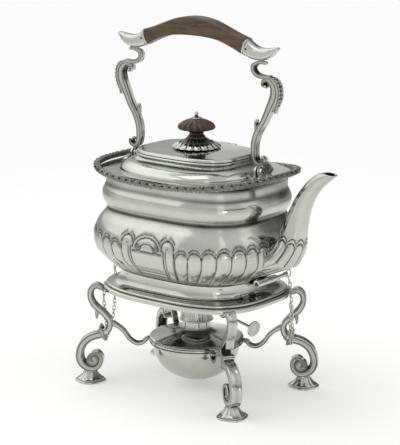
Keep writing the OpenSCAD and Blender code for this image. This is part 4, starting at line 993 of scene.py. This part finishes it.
def bar_between(top, under, half_width, count, power, sides=64):
    """Sections between a top line and an under line in the x-z plane, both measured from the grip's top."""
    high, low_line = [spread(curve([[x, z + GRIP_TOP] for x, z in edge], 24), count) for edge in (top, under)]
    a = round_trip(sides)
    up, out = bent(np.sin(a), power), bent(np.cos(a), power)
    rings = []
    for upper, lower in zip(high, low_line):
        mid, half = (upper + lower) / 2, (upper - lower) / 2
        w = half_width(mid[0])
        rings.append(np.stack([mid[0] + half[0] * up, w * out, mid[1] + half[1] * up], 1))
    ends = [[(high[k][0] + low_line[k][0]) / 2, 0, (high[k][1] + low_line[k][1]) / 2] for k in (0, -1)]
    return rings, ends


def mirror_line(half):
    """A line that is the same on both sides, from its right half."""
    return [[-x, z] for x, z in half[:0:-1]] + half


grip_top_line = mirror_line([[0, 0], [18, -2.2], [35, -8], [46, -12], [57, -15.2]])
grip_under_line = mirror_line([[0, -16.8], [14, -17.2], [28, -19], [42, -23.6], [52, -28.2]])
rings, ends = bar_between(grip_top_line, grip_under_line, lambda x: 7.5 - 1.6 * (x / 60) ** 2, 90, 7)
make_piece("grip_rosewood", Shape().loft(rings, start=ends[0], end=ends[1]), grip_wood, HANDLE,
           ["handle_grip"], sharp=60, grime=0)

ferrule_top = [[57.4, -15.4], [60.4, -17.4], [65, -20], [70.6, -21.6], [77, -21.6], [83, -20.9], [88, -20.3],
               [89.5, -20.7]]
ferrule_under = [[52.3, -28.4], [56, -30.4], [63, -32.4], [71, -32.9], [77, -32], [82.6, -28.9], [87.2, -24.6],
                 [89.6, -21.9]]


def ferrule_half_width(x):
    return float(np.interp(x, [49, 58, 69, 81, 87, 90], [6.4, 6.3, 6.2, 5.3, 3.5, 1.6]))


for side, name in TWO_SIDES:
    rings, ends = bar_between(ferrule_top, ferrule_under, ferrule_half_width, 96, 2.9)
    # A raised collar where the ferrule meets the wood
    for row, swell in enumerate((1.03, 1.05, 1.05, 1.05, 1.03)):
        middle = rings[row].mean(0)
        rings[row] = middle + (rings[row] - middle) * [1.0, swell, swell]
    shape = Shape().loft(rings, start=ends[0], end=ends[1]).mirrored(side)
    make_piece(name + "_ferrule_duck_bill", shape, turned_silver, HANDLE, [name + "_ferrule"])

pin_steel, tree, surface, output = new_material("blued_steel_pin")
surface.inputs["Metallic"].default_value = 1.0
surface.inputs["Base Color"].default_value = linear("#4a4744")
surface.inputs["Roughness"].default_value = 0.4
rod = Shape().revolve([[0.8, -6.5], [1, -6.4], [1, 6.4], [0.8, 6.5]], 24)
GRIP_PIN_X, GRIP_PIN_Z = 58.6, 315.5
both = Shape()
for side in (1, -1):
    base = len(both.points)
    level = rod.points[:, [0, 2, 1]] + [side * GRIP_PIN_X, 0, GRIP_PIN_Z]
    both.points = np.vstack([both.points, level])
    both.faces += [[base + i for i in face] for face in rod.faces]
    both.tint = np.zeros(len(both.points))
make_piece("grip_pins_blued", both, pin_steel, HANDLE, ["grip_pins"])

# %% Handle lugs with their shells
SHELL_RIBS, SHELL_X, SHELL_Z = 11, PIVOT_X + 3.6, FLANGE_Z + 0.2
for side, name in TWO_SIDES:
    carry_over(name + "_handle_lug", cast_silver, STAND, 0.5)
    carry_over(name + "_handle_pivot", turned_silver, STAND, 0.3)
    a = np.linspace(-math.pi / 2, math.pi / 2, 72)
    rings = []
    for share in (1.0, 1.0, 0.94, 0.8, 0.6, 0.4, 0.22):
        rise = 0 if len(rings) == 0 else 3.6 * (1 - share ** 2.2) + 1.0
        rib = 1 - 0.16 * share * np.abs(np.cos(SHELL_RIBS * (a + math.pi / 2) / 2)) ** 2
        top = SHELL_Z + rise * (0.8 + 0.2 * rib)
        rings.append(np.stack([SHELL_X + 10.6 * share * rib * np.cos(a), 11.6 * share * rib * np.sin(a), top], 1))
    shape = Shape().loft(rings, start=[SHELL_X, 0, SHELL_Z], end=[PIVOT_X + 3.8, 0, FLANGE_Z + 5.2])
    shape.mirrored(side)
    make_piece(name + "_lug_shell", shape, border_silver, STAND, [], sharp=60, grime=1.0)

# %% [markdown]
# The stand: a collar that the kettle sits on, a moulded plate round it, four scrolled legs with
# bell feet, and four thin stretchers that carry the lamp ring. Legs and stretchers are drawn in an
# upright plane and turned to their corners.

# %% Stand plate
plate_outline = [
    [67.7, 0], [67.7, -1.2], [67.4, -4], [68.1, -7.6], [70.1, -10.6], [73.7, -12.4], [78.2, -13.4], [79.8, -13.6],
    [80.8, -14.6], [80.4, -16], [82.2, -16.6], [83.4, -17.8], [83, -20.5]]
STAND_TOP, PLATE_ASPECT, PLATE_WALL = 110, 0.79, 1.6
plate_angles = even_angles(80, 63, 3, 480)
rows = spread(curve(plate_outline, 6), 64)
outer = [ring(a, a * PLATE_ASPECT, STAND_TOP + z, 3, plate_angles) for a, z in rows]
# Where the plate is nearly flat, its under side lies 1.3 mm lower
inner = []
for k, (a, z) in reversed(list(enumerate(rows))):
    drop = 1.3 if 22 < k < 60 else 0
    inner.append(ring(a - PLATE_WALL, a * PLATE_ASPECT - PLATE_WALL, STAND_TOP + z - drop, 3, plate_angles))
make_piece("stand_plate_moulded", Shape().loft(outer + inner, closed=True), turned_silver, STAND,
           ["stand_plate"], sharp=55)

# %% Legs, feet and stretchers
LEG_ANGLE = 33.3
leg_upper = [
    [76.5, 87.2, 1.4], [82, 87.4, 1.6], [87.4, 90, 2.2], [92.4, 91.6, 2.6], [96.8, 87.6, 2.7],
    [97.4, 80.4, 2.7], [93.6, 72.8, 2.8], [86.4, 66.4, 2.7], [80, 58.6, 2.6], [80.6, 50.8, 3], [85.6, 46.4, 3.2]]
leg_lower = [
    [83.6, 47.8, 4.2], [88.6, 45.4, 3.6], [97, 42.8, 3.4], [104.6, 36.4, 3.6], [108.2, 26.6, 3.7],
    [106.8, 18.4, 3.6], [101.4, 13.4, 3.3], [94.6, 12.6, 2.8], [89.6, 16.6, 2.5], [88.4, 22.8, 2.4],
    [91.8, 27.2, 2.1], [96.4, 26, 1.8], [98, 21.6, 1.6], [95.4, 18.6, 1.3]]
leg_tip = [[90.8, 70, 2.2], [91.8, 65, 1.6], [91.6, 60.6, 0.8]]
leg_cuff = [[83.2, 40.8, 1.4], [85.6, 44.4, 1.8], [88, 50.6, 1.8], [88.2, 53.4, 1]]
stretcher = [
    [77.2, 56, 1.8], [72.6, 53.4, 1.5], [67, 48.8, 1.4], [61.6, 41.4, 1.4], [55.4, 37.4, 1.4],
    [49.4, 38.4, 1.4], [46.6, 41.6, 1.5]]
PLATE_UNDER = 89.25
FOOT_DISTANCE = 98.6
DRUM_SIDES = 40
stretcher_route = [[x, z, w * 1.3] for x, z, w in stretcher] + [[43.9, 42.6, 1.5]]


def below_plate(points):
    """Where a strap would run through the plate, its points are brought down to the plate's edge."""
    x, y, z = points.T
    inside = (np.abs(x) / 83.6) ** 3 + (np.abs(y) / 66.1) ** 3 < 1
    return np.stack([x, y, np.where(inside, np.minimum(z, PLATE_UNDER), z)], 1)


def foot_shape(t, row):
    """A shaped square pad that turns into a round, fluted bell."""
    if row < 6:
        return 1 + 0.05 * np.cos(4 * t)
    return 1 - 0.07 * np.abs(np.cos(4 * t)) ** 6 * (0.4 if row > 12 else 1)


foot_profile = [[13.2, 0], [13.6, 0.3], [13.6, 1.3], [13.3, 1.7], [12.1, 1.9], [12, 2.9], [11.5, 3.3], [10.4, 4.1],
                [9.1, 5.3], [8.2, 6.4], [7.4, 7.5], [6.7, 8.6], [6.2, 9.5], [5.9, 10.1], [5.8, 10.6]]
corners = {"front_right": -LEG_ANGLE, "back_right": LEG_ANGLE,
           "front_left": 180 + LEG_ANGLE, "back_left": 180 - LEG_ANGLE}
for corner, angle in corners.items():
    shape = Shape()
    shape.strap(leg_upper, 8.5)
    shape.strap(leg_lower, 10, steps=7, buttons=((-1, 1.9),))
    # A drum fills the lower curl, painted dark as painted shade like that in the real one's hollow
    drum = Shape().revolve([[5.4, -4.3], [6.6, -4], [6.6, 4], [5.4, 4.3]], DRUM_SIDES)
    flat = drum.points[:, [0, 2, 1]] * [1, 1, -1] + [95.6, 0, 19.8]
    shape.loft(flat[:-2].reshape(4, DRUM_SIDES, 3), start=flat[-2], end=flat[-1], tint=0.75)
    shape.strap(leg_tip, 7.5, channel=0.3)
    shape.strap(notched(leg_cuff, 5, 0.25), 10.6, steps=1, channel=0.3)
    shape.ball((FOOT_DISTANCE, 0, 11.6), (5, 5, 1.6), 32)
    shape.moved(lambda p, a=angle: below_plate(turned(p, a)))
    make_piece(corner + "_leg_scrolled", shape, cast_silver, STAND, [corner + "_leg"], sharp=50)
    shape = Shape().revolve(foot_profile, 144, foot_shape)
    shape.moved(lambda p, a=angle: turned(p + [FOOT_DISTANCE, 0, 0], a))
    make_piece(corner + "_foot_bell", shape, cast_silver, STAND, [corner + "_foot"], sharp=50, grime=0.5)
    shape = Shape().strap(stretcher_route, 5.5).moved(lambda p, a=angle: turned(p, a))
    make_piece(corner + "_stretcher_bent", shape, turned_silver, STAND, [corner + "_stretcher"])

# %% [markdown]
# The spirit lamp hangs in a ring between the stretchers: a round bowl, a domed cover, a burner neck
# with a turning sleeve, and a cotton wick. A stem with a thumb disc turns the sleeve, which lowers
# or raises the flame.

# %% Lamp ring, bowl and cover
ring_profile = [[40.5, 40.4], [42.6, 40.4], [43.2, 40.7], [43.4, 41.2], [43.4, 41.8], [42.8, 42.3], [43.4, 42.8],
                [43.4, 43.7], [43.1, 44.2], [42.6, 44.4], [40.5, 44.4]]
shape = Shape().revolve(ring_profile, 192, closed=True)
make_piece("lamp_ring_turned", shape, turned_silver, STAND, ["lamp_ring"])

a = np.linspace(0, math.pi / 2, 44)
outer_wall, inner_wall = [
    [[radius * math.cos(k) ** 0.9, 40.4 - deep * math.sin(k)] for k in a[:-1]] for radius, deep in ((40, 34), (39, 33))]
lip_profile = [[39.1, 45.5], [42.2, 45.5], [42.8, 45.2], [42.8, 44.8], [42.2, 44.6], [40.1, 44.6], [40, 42.6]]
bowl = inner_wall[::-1] + lip_profile + outer_wall
make_piece("lamp_bowl_raised", Shape().revolve(bowl, 192), planished_silver, "lamp", ["lamp_bowl"], sharp=55)

cover_top = [[39.6, 45.6], [42.6, 45.6], [43, 46.1], [42.6, 46.6], [40.4, 46.9], [38, 47.3], [31.2, 48.6], [24, 50],
             [19.8, 50.6], [15.8, 51.6], [13.6, 53.6], [12.9, 56], [12.8, 60.5], [12.8, 76.4]]
cover_in = [[8.1, 76.4], [8.1, 75.2], [11.6, 75.2], [11.6, 60.5], [12, 54], [14.8, 50.4], [19.4, 49.2], [31.2, 47.3]]
make_piece("lamp_cover_domed", Shape().revolve(cover_top + cover_in, 192, closed=True), turned_silver, "lamp",
           ["lamp_cover"], sharp=50)
carry_over("wick_tube", turned_silver, "lamp", 0.2)

# %% Wick
wick_cotton, tree, surface, output = new_material("braided_cotton_wick")
place = add_node(tree, "ShaderNodeTexCoord").outputs["Object"]
threads = add_node(tree, "ShaderNodeTexNoise", Vector=place, Scale=1800.0, Detail=3.0).outputs["Fac"]
tone = add_node(tree, "ShaderNodeMix", {"data_type": "RGBA"}, i0=threads, i6=linear("#d9cfb8"), i7=linear("#f1ecdf"))
feed(tree, tone.outputs[2], surface, "Base Color")
surface.inputs["Roughness"].default_value = 0.95
fluff = add_node(tree, "ShaderNodeBump", Height=threads, Strength=0.6, Distance=0.0004).outputs[0]
feed(tree, fluff, surface, "Normal")
wick_profile = [[6.9, 18.4], [6.9, 40], [6.9, 60], [6.9, 78], [6.9, 81.4], [6.7, 82.6], [5.6, 83.2], [3, 83.4]]
shape = Shape().revolve(wick_profile, 96, lambda t, row: 1 - 0.05 * np.abs(np.cos(12 * t + row * 0.7)) ** 2)
make_piece("wick_cotton", shape, wick_cotton, "lamp", ["wick"], grime=0.2)

# %% Regulator
sleeve = [[12.9, 61.7], [15.2, 61.7], [15.6, 62.1], [15.5, 62.9], [14.8, 63.4], [14.8, 79.8], [15.5, 80.3],
          [15.6, 80.9], [15.2, 81.4], [12.9, 81.4]]
KNURLED_ROWS = (1, 2, 3, 6, 7, 8)


def knurl(t, row):
    return 1 - 0.02 * np.abs(np.cos(30 * t)) ** 2 * (row in KNURLED_ROWS)


shape = Shape().revolve(sleeve, 240, knurl, closed=True)
make_piece("regulator_sleeve_knurled", shape, turned_silver, "regulator", ["regulator_sleeve"], sharp=50)
carry_over("regulator_stem", turned_silver, "regulator", 0.2)
STEM_ANGLE = -10
DISC_X, DISC_Z, STEM_START, STEM_DROP = 76, 69.4, 15.6, 8.8
slope = math.atan2(STEM_DROP, DISC_X - STEM_START)
disc_profile = [[5.2, -0.7], [6.9, -0.8], [7.2, -0.5], [7.2, 0.5], [6.9, 0.8], [6.4, 0.7], [3, 0.55], [1.6, 0.6]]
disc = Shape().revolve(disc_profile, 96)


def on_stem(p):
    """Lays the disc's axis along the sloping stem."""
    c, s = math.cos(slope), math.sin(slope)
    x, y, z = p.T
    return turned(np.stack([z * c - x * s + DISC_X, y, -z * s - x * c + DISC_Z], 1), STEM_ANGLE)


make_piece("thumb_disc_turned", disc.moved(on_stem), turned_silver, "regulator", ["thumb_disc"])

# %% [markdown]
# Two pins lock the kettle to the stand. Each has a pull ring, and a fine chain ties it to an eye
# under the plate.

# %% Knuckles and pins
for side in ("left", "right"):
    carry_over(side + "_kettle_knuckle", turned_silver, STAND, 0.3)
    carry_over(side + "_stand_knuckles", turned_silver, STAND, 0.3)
    carry_over(side + "_lock_pin", turned_silver, side + "_pin", 0.15)
carry_over("chain_eyes", turned_silver, STAND, 0.05)

# %% Chains
link_bend, link_radius, wire = 1.0, 1.3, 0.45
t = round_trip(28)
centre_line = np.stack([link_radius * np.cos(t), 0 * t,
                        link_radius * np.sin(t) + link_bend * np.sign(np.sin(t) + 1e-9)], 1)
out_line = np.stack([np.cos(t), 0 * t, np.sin(t)], 1)
rings = []
for k in range(10):
    a = 2 * math.pi * k / 10
    rings.append(centre_line + wire * (math.cos(a) * out_line + math.sin(a) * np.array([0, 1, 0])))
link = Shape().loft(np.array(rings), closed=True)
EYE = (75.9, 40.65, 87.2)
LINK_PITCH = 3.4


def plate_edge(y):
    return 83 * (1 - (y / 65.57) ** 3) ** (1 / 3)


def chain_places(ring_y, fall_y, low_y, low_z):
    """Links along a slack loop, each turned a quarter against the last."""
    fall_x, up_x = plate_edge(fall_y) + 3, EYE[0] + 1
    route = curve([
        [78.4, ring_y, 105.3], [fall_x - 2, (ring_y + fall_y) / 2, 101.5], [fall_x, fall_y, 93.5],
        [fall_x + 1.2, fall_y, low_z + 24], [fall_x + 0.6, fall_y + (low_y - fall_y) / 4, low_z + 8],
        [(fall_x + up_x) / 2, low_y, low_z], [up_x, EYE[1] - (EYE[1] - low_y) / 4, low_z + 8],
        [up_x - 0.2, EYE[1], 75.5], [EYE[0], EYE[1], EYE[2] - 3.3]], 8)
    total = np.sum(np.linalg.norm(np.diff(route, axis=0), axis=1))
    count = int(total / LINK_PITCH)
    even = spread(route, 2 * count + 1)
    made = []
    for k in range(count):
        way = even[2 * k + 2] - even[2 * k]
        tilt = math.acos(way[2] / np.linalg.norm(way))
        swing = math.atan2(way[1], way[0])
        # Turn about the link's own length first, then lay the length along the route
        own = math.radians(45 if k % 2 == 0 else -45)
        made.append((even[2 * k + 1], (own, tilt, swing)))
    return made


def zyz_to_euler(own, tilt, swing):
    """The three turns of a link, rewritten as the x, y and z turns that the tree expects."""
    def about_z(a):
        return np.array([[math.cos(a), -math.sin(a), 0], [math.sin(a), math.cos(a), 0], [0, 0, 1]])
    about_y = np.array([[math.cos(tilt), 0, math.sin(tilt)], [0, 1, 0], [-math.sin(tilt), 0, math.cos(tilt)]])
    m = about_z(swing) @ about_y @ about_z(own)
    return (math.atan2(m[2, 1], m[2, 2]), -math.asin(max(-1, min(1, m[2, 0]))), math.atan2(m[1, 0], m[0, 0]))


chains = {
    "right": (chain_places(34.4, 33, 37.4, 44.5), 0, (81, 37.4, 44.5), (81, 29.44, 45.16)),
    "left": (chain_places(19.4, 14, 28, 43.5), 180, (-81, -28, 43), (-81, -3.69, 49.97))}
for side, (links, spin, start, end) in chains.items():
    places = []
    for position, (own, tilt, swing) in links:
        where = turned(np.array(position), spin)
        places.append((where, zyz_to_euler(own, tilt, swing + math.radians(spin)), (1, 1, 1)))
    repeat(side + "_chain_links", link, places, turned_silver, None, [side + "_chain"],
           (STAND, side + "_pin", Vector(start) * MM, Vector(end) * MM), grime=0.3)

# %% [markdown]
# The last cell prints the visual model's box and the CAD box.

# %% Finish
visual_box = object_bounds()
sizes = {"cad": [list(c) for c in cad_box], "visual": [list(c) for c in visual_box]}
for name, corners_found in sizes.items():
    print(name, [[round(v / MM, 2) for v in c] for c in corners_found])
